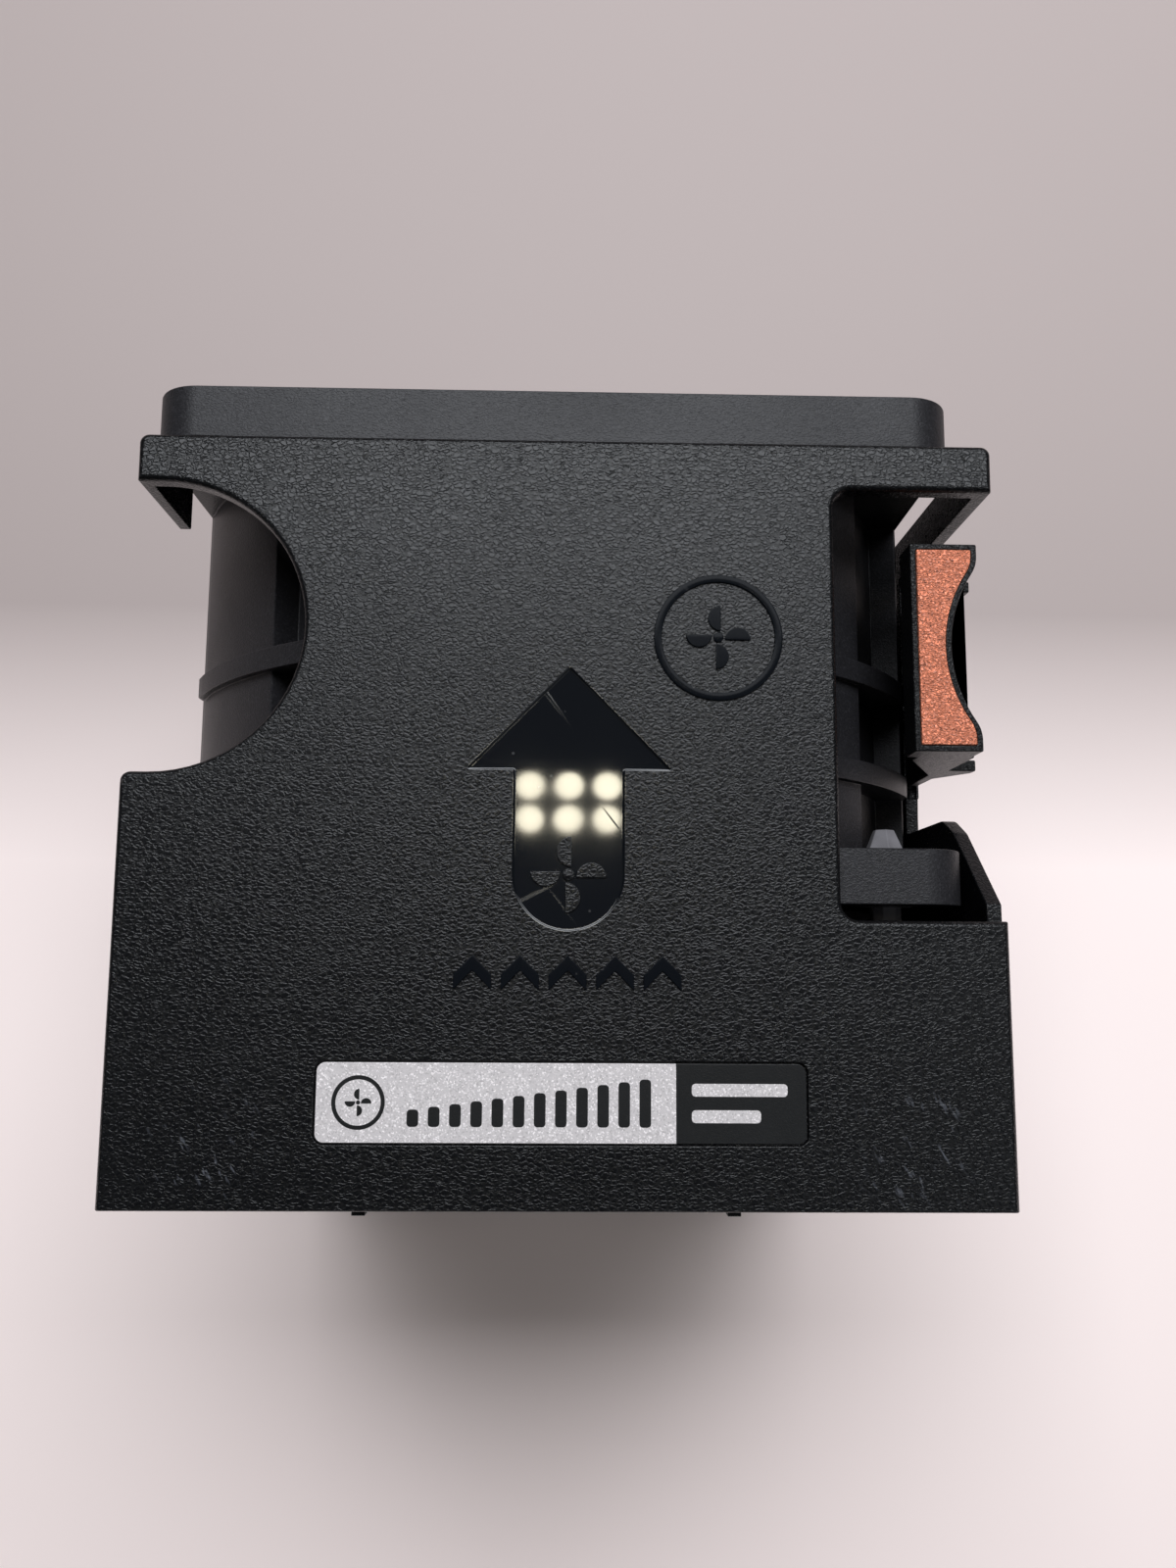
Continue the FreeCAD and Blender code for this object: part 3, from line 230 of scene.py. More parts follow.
def ring(shape, centre, outer, inner, level, thickness, steps=64):
    """A flat ring raised to a thin plate."""
    loops = []
    for radius in (outer, inner):
        made = bmesh.ops.create_circle(
            shape, segments=steps, radius=radius, matrix=Matrix.Translation((*centre, level)))
        loops.append({edge for vert in made["verts"] for edge in vert.link_edges})
    made = bmesh.ops.bridge_loops(shape, edges=list(loops[0] | loops[1]))
    raised = bmesh.ops.extrude_face_region(shape, geom=made["faces"])
    tops = [item for item in raised["geom"] if isinstance(item, bmesh.types.BMVert)]
    bmesh.ops.translate(shape, verts=tops, vec=(0, 0, thickness))


def disc(shape, centre, radius, level, thickness, steps=24):
    """A round thin plate."""
    corners = [(centre[0] + radius * math.cos(2 * math.pi * step / steps),
                centre[1] + radius * math.sin(2 * math.pi * step / steps)) for step in range(steps)]
    plate(shape, corners, level, thickness)


def half_moon(shape, centre, across, turned, level, thickness, steps=12):
    """A blade sign: a half circle on its chord, turned about the sign's centre."""
    spin = Matrix.Rotation(turned, 2)
    corners = []
    for step in range(steps + 1):
        angle = math.pi * step / steps
        point = Vector((across / 2 * math.cos(angle), across / 2 * math.sin(angle)))
        corners.append(tuple(Vector(centre) + spin @ (point + Vector((across * 0.75, -across * 0.1)))))
    plate(shape, corners, level, thickness)


def rotor_sign(shape, centre, radius, level, thickness):
    """Four half-moon blades round a hub."""
    for quarter in range(4):
        half_moon(shape, centre, radius * 0.72, quarter * math.pi / 2, level, thickness)
    disc(shape, centre, radius * 0.14, level, thickness)


def close(shape):
    """Weld what meets, and turn every face outwards."""
    bmesh.ops.remove_doubles(shape, verts=shape.verts, dist=1e-7)
    bmesh.ops.recalc_face_normals(shape, faces=shape.faces)


def welded_copy(node, merge_flats=True):
    """A copy of a solid as one skin, its flat faces whole where they have no holes to go round."""
    shape = bmesh.new()
    shape.from_mesh(frame["nodes"][node].data)
    bmesh.ops.remove_doubles(shape, verts=shape.verts, dist=WELD)
    if merge_flats:
        bmesh.ops.dissolve_limit(
            shape, angle_limit=math.radians(0.6), verts=shape.verts, edges=shape.edges,
            delimit={"NORMAL"})
    bmesh.ops.recalc_face_normals(shape, faces=shape.faces)
    return shape


def soften(shape, width, sharper=32.0, steps=2, chosen=None):
    """Round the edges where faces meet at more than an angle, as a mould leaves them."""
    limit = math.radians(sharper)
    edges = [edge for edge in shape.edges
             if len(edge.link_faces) == 2 and edge.calc_face_angle(0) > limit
             and (chosen is None or chosen(edge))]
    bmesh.ops.bevel(
        shape, geom=edges, offset=width, segments=steps, profile=0.5, affect="EDGES",
        material=-1, clamp_overlap=False, loop_slide=True, miter_outer="ARC")


def deep_rim(edge):
    """An edge of the arrow face with a wall below it that is deeper than marks and pockets are."""
    top = face_height()
    return all(top - vert.co.z < FLUSH for vert in edge.verts) and min(
        vert.co.z for face in edge.link_faces for vert in face.verts) < top - WALL


def moulded(node, name, body, finish, width=0.0):
    """A solid's place taken by a copy, with softened edges where a width is given."""
    shape = welded_copy(node, merge_flats=bool(width))
    if width:
        soften(shape, width)
    piece = add_piece(name, shape, body, finish)
    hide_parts(node)


# ---- shader groups ----------------------------------------------------------------------------

def link(tree, source, target):
    tree.links.new(source, target)


def maths(tree, kind, first, second=None, third=None):
    """One Math node; a plain number sets the socket, a socket is linked."""
    node = tree.nodes.new("ShaderNodeMath")
    node.operation = kind
    for place, value in enumerate((first, second, third)):
        if isinstance(value, (int, float)):
            node.inputs[place].default_value = value
        elif value is not None:
            link(tree, value, node.inputs[place])
    return node.outputs[0]


def remap(tree, value, low, high, to_low=0.0, to_high=1.0):
    """A value stretched from one span to another and clamped."""
    node = tree.nodes.new("ShaderNodeMapRange")
    link(tree, value, node.inputs["Value"])
    for socket, number in zip(("From Min", "From Max", "To Min", "To Max"), (low, high, to_low, to_high)):
        node.inputs[socket].default_value = number
    return node.outputs["Result"]


def new_group(name, inputs, outputs):
    """An empty shader group with named sockets."""
    tree = bpy.data.node_groups.new(name, "ShaderNodeTree")
    for label, default in inputs:
        socket = tree.interface.new_socket(label, in_out="INPUT", socket_type="NodeSocketFloat")
        socket.default_value = default
    for label, kind in outputs:
        tree.interface.new_socket(label, in_out="OUTPUT", socket_type=kind)
    return tree, tree.nodes.new("NodeGroupInput").outputs, tree.nodes.new("NodeGroupOutput").inputs


def object_place(tree):
    return tree.nodes.new("ShaderNodeTexCoord").outputs["Object"]


def noise(tree, scale, detail=2.0, roughness=0.5, place=None, distortion=0.0):
    """A Noise node in object space; the scale is features per metre."""
    node = tree.nodes.new("ShaderNodeTexNoise")
    link(tree, place or object_place(tree), node.inputs["Vector"])
    if isinstance(scale, (int, float)):
        node.inputs["Scale"].default_value = scale
    else:
        link(tree, scale, node.inputs["Scale"])
    node.inputs["Detail"].default_value = detail
    node.inputs["Roughness"].default_value = roughness
    node.inputs["Distortion"].default_value = distortion
    return node


def build_grain():
    """Etched mould grain: flat islands, drawn out across the face, between wandering valleys."""
    tree, given, out = new_group(
        "mould_grain", [("Size", 0.3 * MM), ("Fineness", 0.5)],
        [("Height", "NodeSocketFloat"), ("Cells", "NodeSocketFloat")])
    density = maths(tree, "DIVIDE", 1.0, given["Size"])
    drift = noise(tree, maths(tree, "MULTIPLY", density, 0.8), 2.0).outputs["Color"]
    shift = tree.nodes.new("ShaderNodeVectorMath")
    shift.operation = "MULTIPLY_ADD"
    link(tree, drift, shift.inputs[0])
    scaled = tree.nodes.new("ShaderNodeCombineXYZ")
    for axis in range(3):
        link(tree, maths(tree, "MULTIPLY", given["Size"], 1.3), scaled.inputs[axis])
    link(tree, scaled.outputs[0], shift.inputs[1])
    link(tree, object_place(tree), shift.inputs[2])
    drawn = tree.nodes.new("ShaderNodeMapping")
    link(tree, shift.outputs[0], drawn.inputs["Vector"])
    drawn.inputs["Scale"].default_value = (0.72, 1.3, 1.2)
    cells = tree.nodes.new("ShaderNodeTexVoronoi")
    cells.feature = "DISTANCE_TO_EDGE"
    link(tree, drawn.outputs["Vector"], cells.inputs["Vector"])
    link(tree, density, cells.inputs["Scale"])
    islands = remap(tree, cells.outputs["Distance"], 0.02, 0.24)
    fine = noise(tree, maths(tree, "MULTIPLY", density, 2.2), 3.0, 0.6).outputs["Fac"]
    mixed = maths(tree, "MULTIPLY_ADD", fine, given["Fineness"], islands)
    link(tree, mixed, out["Height"])
    link(tree, islands, out["Cells"])
    return tree


def build_wear():
    """Rubbed edges: where the surface turns within a small radius, broken up by noise."""
    tree, given, out = new_group(
        "edge_wear", [("Radius", 0.25 * MM), ("Amount", 0.5)], [("Mask", "NodeSocketFloat")])
    turned = tree.nodes.new("ShaderNodeBevel")
    turned.samples = 4
    link(tree, given["Radius"], turned.inputs["Radius"])
    geometry = tree.nodes.new("ShaderNodeNewGeometry")
    dot = tree.nodes.new("ShaderNodeVectorMath")
    dot.operation = "DOT_PRODUCT"
    link(tree, turned.outputs["Normal"], dot.inputs[0])
    link(tree, geometry.outputs["Normal"], dot.inputs[1])
    edge = remap(tree, dot.outputs["Value"], 0.98, 0.75)
    patchy = remap(tree, noise(tree, 900.0, 4.0, 0.65).outputs["Fac"], 0.42, 0.62)
    worn = maths(tree, "MULTIPLY", edge, patchy)
    link(tree, maths(tree, "MULTIPLY", worn, given["Amount"]), out["Mask"])
    return tree


def build_dust():
    """Handling marks: faint smudges, and dust caught in specks."""
    tree, given, out = new_group(
        "handling", [("Smudge", 0.5), ("Specks", 0.5)],
        [("Smudges", "NodeSocketFloat"), ("Dust", "NodeSocketFloat")])
    broad = noise(tree, 70.0, 3.0, 0.55, distortion=0.6).outputs["Fac"]
    smudge = remap(tree, broad, 0.35, 0.7)
    link(tree, maths(tree, "MULTIPLY", smudge, given["Smudge"]), out["Smudges"])
    cells = tree.nodes.new("ShaderNodeTexVoronoi")
    cells.feature = "F1"
    cells.inputs["Scale"].default_value = 1100.0
    link(tree, object_place(tree), cells.inputs["Vector"])
    speck = remap(tree, cells.outputs["Distance"], 0.16, 0.08)
    chosen = tree.nodes.new("ShaderNodeSeparateColor")
    link(tree, cells.outputs["Color"], chosen.inputs["Color"])
    rare = maths(tree, "GREATER_THAN", chosen.outputs["Red"], 0.93)
    specks = maths(tree, "MULTIPLY", maths(tree, "MULTIPLY", speck, rare), given["Specks"])
    link(tree, specks, out["Dust"])
    return tree


def build_flecks():
    """Fine light and dark flecks, one random value to each small cell."""
    tree, given, out = new_group(
        "flecks", [("Size", 0.15 * MM)], [("Light", "NodeSocketFloat"), ("Dark", "NodeSocketFloat"),
                                          ("Value", "NodeSocketFloat")])
    cells = tree.nodes.new("ShaderNodeTexVoronoi")
    cells.feature = "F1"
    link(tree, object_place(tree), cells.inputs["Vector"])
    link(tree, maths(tree, "DIVIDE", 1.0, given["Size"]), cells.inputs["Scale"])
    parts = tree.nodes.new("ShaderNodeSeparateColor")
    link(tree, cells.outputs["Color"], parts.inputs["Color"])
    link(tree, remap(tree, parts.outputs["Red"], 0.72, 1.0), out["Light"])
    link(tree, remap(tree, parts.outputs["Green"], 0.72, 1.0), out["Dark"])
    link(tree, parts.outputs["Blue"], out["Value"])
    return tree


def build_scuffs():
    """Pale scuffs where the module is set down: clusters of short scratches near two corners."""
    tree, given, out = new_group(
        "scuffs", [("Across", 24.0 * MM), ("Along", -25.0 * MM), ("Reach", 5.0 * MM)],
        [("Mask", "NodeSocketFloat")])
    place = tree.nodes.new("ShaderNodeSeparateXYZ")
    link(tree, object_place(tree), place.inputs[0])
    across = maths(tree, "SUBTRACT", maths(tree, "ABSOLUTE", place.outputs["X"]), given["Across"])
    along = maths(tree, "SUBTRACT", place.outputs["Y"], given["Along"])
    away = maths(tree, "SQRT", maths(tree, "MULTIPLY_ADD", across, across,
                                     maths(tree, "MULTIPLY", along, along)))
    near = maths(tree, "SUBTRACT", 1.0, maths(tree, "DIVIDE", away, given["Reach"]))
    near = remap(tree, near, 0.0, 0.7)
    drawn = tree.nodes.new("ShaderNodeMapping")
    drawn.vector_type = "TEXTURE"
    link(tree, object_place(tree), drawn.inputs["Vector"])
    drawn.inputs["Rotation"].default_value = (0, 0, math.radians(28))
    drawn.inputs["Scale"].default_value = (1.0, 3.5, 1.0)
    streaks = noise(tree, 2600.0, 2.0, 0.6, drawn.outputs["Vector"]).outputs["Fac"]
    scratch = remap(tree, streaks, 0.60, 0.70)
    patch = remap(tree, noise(tree, 420.0, 2.0).outputs["Fac"], 0.44, 0.56)
    link(tree, maths(tree, "MULTIPLY", maths(tree, "MULTIPLY", scratch, patch), near), out["Mask"])
    return tree


GROUP_MAKERS = {"scuffs": build_scuffs, "mould_grain": build_grain, "edge_wear": build_wear,
                "handling": build_dust, "flecks": build_flecks}


def place_group(tree, name, **values):
    """Put a shared group in a material, with its own values."""
    node = tree.nodes.new("ShaderNodeGroup")
    node.node_tree = bpy.data.node_groups.get(name) or GROUP_MAKERS[name]()
    for label, value in values.items():
        node.inputs[label].default_value = value
    return node


# ---- materials --------------------------------------------------------------------------------

def new_finish(name, colour, roughness, metallic=0.0, sheen=0.5):
    """A Principled material: its tree, its shader, and its plain values set."""
    finish = bpy.data.materials.new(name)
    finish.use_nodes = True
    tree = finish.node_tree
    shader = tree.nodes["Principled BSDF"]
    shader.inputs["Base Color"].default_value = (*colour, 1.0)
    shader.inputs["Roughness"].default_value = roughness
    shader.inputs["Metallic"].default_value = metallic
    shader.inputs["Specular IOR Level"].default_value = sheen
    return finish, tree, shader


def mix_colour(tree, factor, first, second, blend="MIX"):
    """Mix two colours; a tuple sets the socket, a socket is linked."""
    node = tree.nodes.new("ShaderNodeMix")
    node.data_type = "RGBA"
    node.blend_type = blend
    node.clamp_factor = True
    for socket, value in ((node.inputs[0], factor), (node.inputs[6], first), (node.inputs[7], second)):
        if isinstance(value, (int, float)):
            socket.default_value = value
        elif isinstance(value, bpy.types.NodeSocket):
            link(tree, value, socket)
        else:
            socket.default_value = (*value[:3], 1.0)
    return node.outputs[2]


def bump(tree, shader, height, depth, strength=1.0):
    """Feed a height in metres of relief to the shader's normal."""
    node = tree.nodes.new("ShaderNodeBump")
    node.inputs["Strength"].default_value = strength
    node.inputs["Distance"].default_value = depth
    link(tree, height, node.inputs["Height"])
    link(tree, node.outputs["Normal"], shader.inputs["Normal"])


def tint(colour, factor):
    return tuple(channel * factor for channel in colour)


def grained_plastic(name, colour, size, depth, wear, roughness):
    """Etched black plastic: islands a little shinier than the valleys, the valleys tinted darker as painted
    shade, rubbed at its edges.
    """
    finish, tree, shader = new_finish(name, colour, roughness, sheen=0.22)
    grain = place_group(tree, "mould_grain", Size=size, Fineness=0.35)
    worn = place_group(tree, "edge_wear", Radius=0.22 * MM, Amount=wear)
    handled = place_group(tree, "handling", Smudge=0.5, Specks=0.15)
    # Painted shade and light in the grain: valleys are tinted darker and islands lighter.
    relief = mix_colour(tree, grain.outputs["Cells"], tint(colour, 0.72), tint(colour, 1.25))
    rubbed = mix_colour(tree, worn.outputs["Mask"], relief, (0.10, 0.098, 0.098))
    scuffed = mix_colour(tree, place_group(tree, "scuffs").outputs["Mask"], rubbed, (0.09, 0.095, 0.11))
    dusty = mix_colour(tree, handled.outputs["Dust"], scuffed, (0.09, 0.088, 0.086))
    link(tree, dusty, shader.inputs["Base Color"])
    polish = maths(tree, "MULTIPLY_ADD", grain.outputs["Cells"], -0.10, roughness + 0.06)
    link(tree, maths(tree, "MULTIPLY_ADD", handled.outputs["Smudges"], -0.08, polish),
         shader.inputs["Roughness"])
    bump(tree, shader, grain.outputs["Height"], depth)
    return finish


def polished_plastic(name, colour, roughness=0.03, sheen=0.5):
    """Polished or satin black with hairline scratches."""
    finish, tree, shader = new_finish(name, colour, roughness, sheen=sheen)
    lines = None
    for turned, scale in ((37.0, 2300.0), (-64.0, 1700.0)):
        place = tree.nodes.new("ShaderNodeMapping")
        place.vector_type = "TEXTURE"
        link(tree, object_place(tree), place.inputs["Vector"])
        place.inputs["Rotation"].default_value = (0, 0, math.radians(turned))
        place.inputs["Scale"].default_value = (1.0, 24.0, 1.0)
        streaks = noise(tree, scale, 1.0, 0.4, place.outputs["Vector"]).outputs["Fac"]
        mark = remap(tree, streaks, 0.72, 0.78)
        lines = maths(tree, "MAXIMUM", lines, mark) if lines else mark
    handled = place_group(tree, "handling", Smudge=1.0, Specks=0.7)
    scratched = mix_colour(tree, maths(tree, "MULTIPLY", lines, 0.18), colour, (0.05, 0.05, 0.052))
    link(tree, mix_colour(tree, handled.outputs["Dust"], scratched, (0.07, 0.07, 0.07)),
         shader.inputs["Base Color"])
    rough = maths(tree, "MULTIPLY_ADD", lines, 0.2, roughness)
    link(tree, maths(tree, "MULTIPLY_ADD", handled.outputs["Smudges"], 0.03, rough),
         shader.inputs["Roughness"])
    bump(tree, shader, noise(tree, 130.0, 1.0).outputs["Fac"], 0.02 * MM, 0.12)
    return finish


def flecked_plastic(name, colour, size, contrast, roughness, relief, sheen=0.5):
    """Filled moulding with fine light and dark flecks; on the glittery touch pad and the silver label the
    light flecks are also painted glints.
    """
    finish, tree, shader = new_finish(name, colour, roughness, sheen=sheen)
    flecks = place_group(tree, "flecks", Size=size)
    worn = place_group(tree, "edge_wear", Radius=0.18 * MM, Amount=0.35)
    handled = place_group(tree, "handling", Smudge=0.8, Specks=0.4)
    # Light flecks: the moulding's own speckle, and on the touch pad and the silver label also painted
    # glints.
    light = mix_colour(tree, maths(tree, "MULTIPLY", flecks.outputs["Light"], contrast),
                       colour, tint(colour, 2.4))
    dark = mix_colour(tree, maths(tree, "MULTIPLY", flecks.outputs["Dark"], contrast),
                      light, tint(colour, 0.35))
    rubbed = mix_colour(tree, worn.outputs["Mask"], dark, tint(colour, 2.0))
    link(tree, rubbed, shader.inputs["Base Color"])
    link(tree, maths(tree, "MULTIPLY_ADD", handled.outputs["Smudges"], -0.10, roughness + 0.04),
         shader.inputs["Roughness"])
    grain = place_group(tree, "mould_grain", Size=size * 2.2, Fineness=0.6)
    bump(tree, shader, grain.outputs["Height"], relief)
    return finish


def rubber(name, colour):
    """Soft dull rubber with a faint bloom."""
    finish, tree, shader = new_finish(name, colour, 0.72)
    cloud = noise(tree, 500.0, 3.0).outputs["Fac"]
    link(tree, mix_colour(tree, remap(tree, cloud, 0.3, 0.7), tint(colour, 0.8), tint(colour, 1.2)),
         shader.inputs["Base Color"])
    bump(tree, shader, noise(tree, 3500.0, 2.0).outputs["Fac"], 0.02 * MM, 0.5)
    return finish


def metal(name, colour, roughness, direction=(1.0, 1.0, 1.0)):
    """Bare or plated metal, brushed where the direction is stretched."""
    finish, tree, shader = new_finish(name, colour, roughness, 1.0)
    place = tree.nodes.new("ShaderNodeMapping")
    link(tree, object_place(tree), place.inputs["Vector"])
    place.inputs["Scale"].default_value = direction
    lines = noise(tree, 2400.0, 3.0, 0.6, place.outputs["Vector"]).outputs["Fac"]
    link(tree, mix_colour(tree, lines, tint(colour, 0.82), tint(colour, 1.1)), shader.inputs["Base Color"])
    link(tree, remap(tree, lines, 0.3, 0.7, roughness * 0.8, roughness * 1.25), shader.inputs["Roughness"])
    bump(tree, shader, lines, 0.004 * MM, 0.4)
    return finish


def plain_plastic(name, colour, roughness):
    """Satin moulding with slight clouding."""
    finish, tree, shader = new_finish(name, colour, roughness)
    cloud = noise(tree, 300.0, 4.0, 0.6).outputs["Fac"]
    link(tree, mix_colour(tree, cloud, tint(colour, 0.85), tint(colour, 1.15)), shader.inputs["Base Color"])
    link(tree, remap(tree, cloud, 0.3, 0.7, roughness - 0.06, roughness + 0.06), shader.inputs["Roughness"])
    bump(tree, shader, noise(tree, 2500.0, 2.0).outputs["Fac"], 0.01 * MM, 0.35)
    return finish


FINISHES = {}


def finish_named(name):
    return FINISHES[name]


class FanModuleFinishes(bpy.types.Operator):
    """Make every finish that the pieces and the solids use"""

    bl_idname = "fanmodule.finishes"
    bl_label = "Finishes"

    def execute(self, context):
        colours = context.scene.fan_colours
        black = tuple(colours.moulding)
        fan = tuple(colours.fan)
        FINISHES.update({
            "black_moulding": grained_plastic("black_moulding", black, 0.35 * MM, 0.016 * MM, 0.30, 0.30),
            "latch_moulding": grained_plastic("latch_moulding", black, 0.30 * MM, 0.03 * MM, 0.35, 0.38),
            "polished_black": polished_plastic("polished_black", tuple(colours.gloss)),
            "satin_black": polished_plastic("satin_black", tuple(colours.gloss), 0.18, 0.04),
            "grey_moulding": flecked_plastic("grey_moulding", fan, 0.13 * MM, 0.45, 0.40, 0.008 * MM, 0.2),
            "impeller_moulding": flecked_plastic(
                "impeller_moulding", tint(fan, 0.34), 0.13 * MM, 0.4, 0.42, 0.008 * MM),
            "guard_moulding": grained_plastic("guard_moulding", black, 0.2 * MM, 0.012 * MM, 0.25, 0.42),
            # The fleck contrast of the touch pad and the silver label partly stands for painted glints.
            "touch_plastic": flecked_plastic(
                "touch_plastic", tuple(colours.touch), 0.12 * MM, 0.9, 0.40, 0.08 * MM),
            "label_silver": flecked_plastic(
                "label_silver", tuple(colours.silver), 0.10 * MM, 0.42, 0.36, 0.004 * MM),
            "label_black": flecked_plastic(
                "label_black", tuple(colours.ink), 0.09 * MM, 0.2, 0.34, 0.003 * MM, 0.2),
            "grey_rubber": rubber("grey_rubber", tuple(colours.rubber)),
            "wire_jacket": rubber("wire_jacket", (0.02, 0.02, 0.02)),
            "plated_steel": metal("plated_steel", (0.62, 0.61, 0.58), 0.28),
            "contact_metal": metal("contact_metal", (0.83, 0.62, 0.28), 0.2, (1.0, 1.0, 0.1)),
            "brass": metal("brass", (0.78, 0.58, 0.28), 0.3, (1.0, 0.1, 1.0)),
            "bearing_steel": metal("bearing_steel", (0.66, 0.66, 0.67), 0.16, (0.1, 1.0, 1.0)),
            "lamination_steel": metal("lamination_steel", (0.36, 0.36, 0.38), 0.36, (0.1, 2.0, 0.1)),
            "magnet_ferrite": plain_plastic("magnet_ferrite", (0.05, 0.05, 0.052), 0.6),
            "copper_wire": metal("copper_wire", (0.72, 0.30, 0.14), 0.3, (0.2, 1.0, 0.2)),
            "former_plastic": plain_plastic("former_plastic", (0.72, 0.71, 0.66), 0.5),
            "connector_plastic": plain_plastic("connector_plastic", (0.014, 0.014, 0.015), 0.4),
            "board_laminate": plain_plastic("board_laminate", (0.02, 0.13, 0.05), 0.35),
            "chip_plastic": plain_plastic("chip_plastic", (0.012, 0.012, 0.012), 0.45),
        })
        return {"FINISHED"}


def dress(node, finish):
    """Give a solid that stays a finish."""
    solid = frame["nodes"][node]
    for slot in solid.material_slots:
        slot.link = "OBJECT"
        slot.material = finish_named(finish)


# ---- pieces -----------------------------------------------------------------------------------

def arrow_box(context):
    """Lowest and highest corners of the arrow's floor, in plan."""
    shape = welded_copy("carrier_shell")
    floor = face_height() - context.scene.fan_marks.arrow_depth
    places = [vert.co for vert in shape.verts if abs(vert.co.z - floor) < FLUSH]
    low = [min(place[axis] for place in places) for axis in (0, 1)]
    high = [max(place[axis] for place in places) for axis in (0, 1)]
    shape.free()
    return low, high


def polish_arrow(context, shape):
    """Give the arrow's floor, walls and softened rim the second finish."""
    low, high = arrow_box(context)
    top = face_height()
    edge = 0.15 * MM
    deepest = top - context.scene.fan_marks.arrow_depth - edge
    for face in shape.faces:
        places = [vert.co for vert in face.verts]
        inside = all(low[axis] - edge < place[axis] < high[axis] + edge
                     for place in places for axis in (0, 1))
        if inside and deepest < min(place.z for place in places) < top - FLUSH:
            face.material_index = 1


class FanModuleCarrier(bpy.types.Operator):
    """Carrier and base cover: grained mouldings with softened edges, and the polished arrow"""

    bl_idname = "fanmodule.carrier"
    bl_label = "Carrier"

    def execute(self, context):
        black = finish_named("black_moulding")
        shape = welded_copy("carrier_shell")
        soften(shape, 0.4 * MM, steps=3, chosen=deep_rim)
        soften(shape, 0.1 * MM, sharper=50.0)
        polish_arrow(context, shape)
        carrier = add_piece("carrier_moulding", shape, "module", (black, finish_named("polished_black")))
        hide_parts("carrier_shell")
        moulded("base_cover", "base_cover_moulding", "module", black, 0.12 * MM)
        moulded("inlet_guard", "guard_moulding", "module", finish_named("guard_moulding"))
        return {"FINISHED"}


class FanModuleFan(bpy.types.Operator):
    """Fan frame, impeller and rubber pins"""

    bl_idname = "fanmodule.fan"
    bl_label = "Fan"

    def execute(self, context):
        moulded("fan_frame", "fan_moulding", "module", finish_named("grey_moulding"), 0.12 * MM)
        moulded("impeller", "impeller_moulding", "rotor", finish_named("impeller_moulding"))
        moulded("isolator_pins", "rubber_pins", "module", finish_named("grey_rubber"), 0.08 * MM)
        return {"FINISHED"}


class FanModuleLatch(bpy.types.Operator):
    """Latch head with its hooks, and the touch pad"""

    bl_idname = "fanmodule.latch"
    bl_label = "Latch"

    def execute(self, context):
        moulded("latch_arm", "latch_moulding", "latch", finish_named("latch_moulding"), 0.12 * MM)
        moulded("touch_pad", "touch_pad_face", "latch", finish_named("touch_plastic"), 0.08 * MM)
        return {"FINISHED"}


class FanModuleMarks(bpy.types.Operator):
    """Rotor sign in the arrow's tail, the ring with its rotor, and the flow marks"""

    bl_idname = "fanmodule.marks"
    bl_label = "Face Marks"

    def execute(self, context):
        sizes = context.scene.fan_marks
        low, high = arrow_box(context)
        middle = (low[0] + high[0]) / 2
        level = face_height() - SUNK
        film = sizes.film + SUNK

        tail = bmesh.new()
        floor = face_height() - sizes.arrow_depth - SUNK
        rotor_sign(tail, (middle, low[1] + sizes.tail_sign * 1.3), sizes.tail_sign, floor, film)
        close(tail)
        soften(tail, sizes.film * MARK_ROUND)
        add_piece("tail_rotor_sign", tail, "module", finish_named("black_moulding"))

        round_mark = bmesh.new()
        centre = (middle + sizes.ring_across, high[1] + sizes.ring_above)
        ring(round_mark, centre, sizes.ring, sizes.ring - sizes.stroke, level, film)
        rotor_sign(round_mark, centre, sizes.ring * ROTOR_SHARE, level, film)
        close(round_mark)
        soften(round_mark, sizes.film * MARK_ROUND)
        add_piece("ring_mark", round_mark, "module", finish_named("satin_black"))

        row = bmesh.new()
        pitch = sizes.row_width / sizes.chevrons
        for step in range(sizes.chevrons):
            across = middle + pitch * (step - (sizes.chevrons - 1) / 2)
            self.add_chevron(row, (across, low[1] - sizes.row_below), pitch * 0.4,
                             sizes.row_height, level, film)
        close(row)
        soften(row, sizes.film * MARK_ROUND)
        add_piece("flow_marks", row, "module", finish_named("satin_black"))
        return {"FINISHED"}

    def add_chevron(self, shape, centre, half, height, level, film):
        """An open arrow head that points along the airflow."""
        x, y = centre
        arm = height * 0.44
        top = y + height / 2
        bottom = y - height / 2
        plate(shape, [(x - half, bottom), (x, top - arm), (x + half, bottom), (x + half, bottom + arm),
                      (x, top), (x - half, bottom + arm)], level, film)


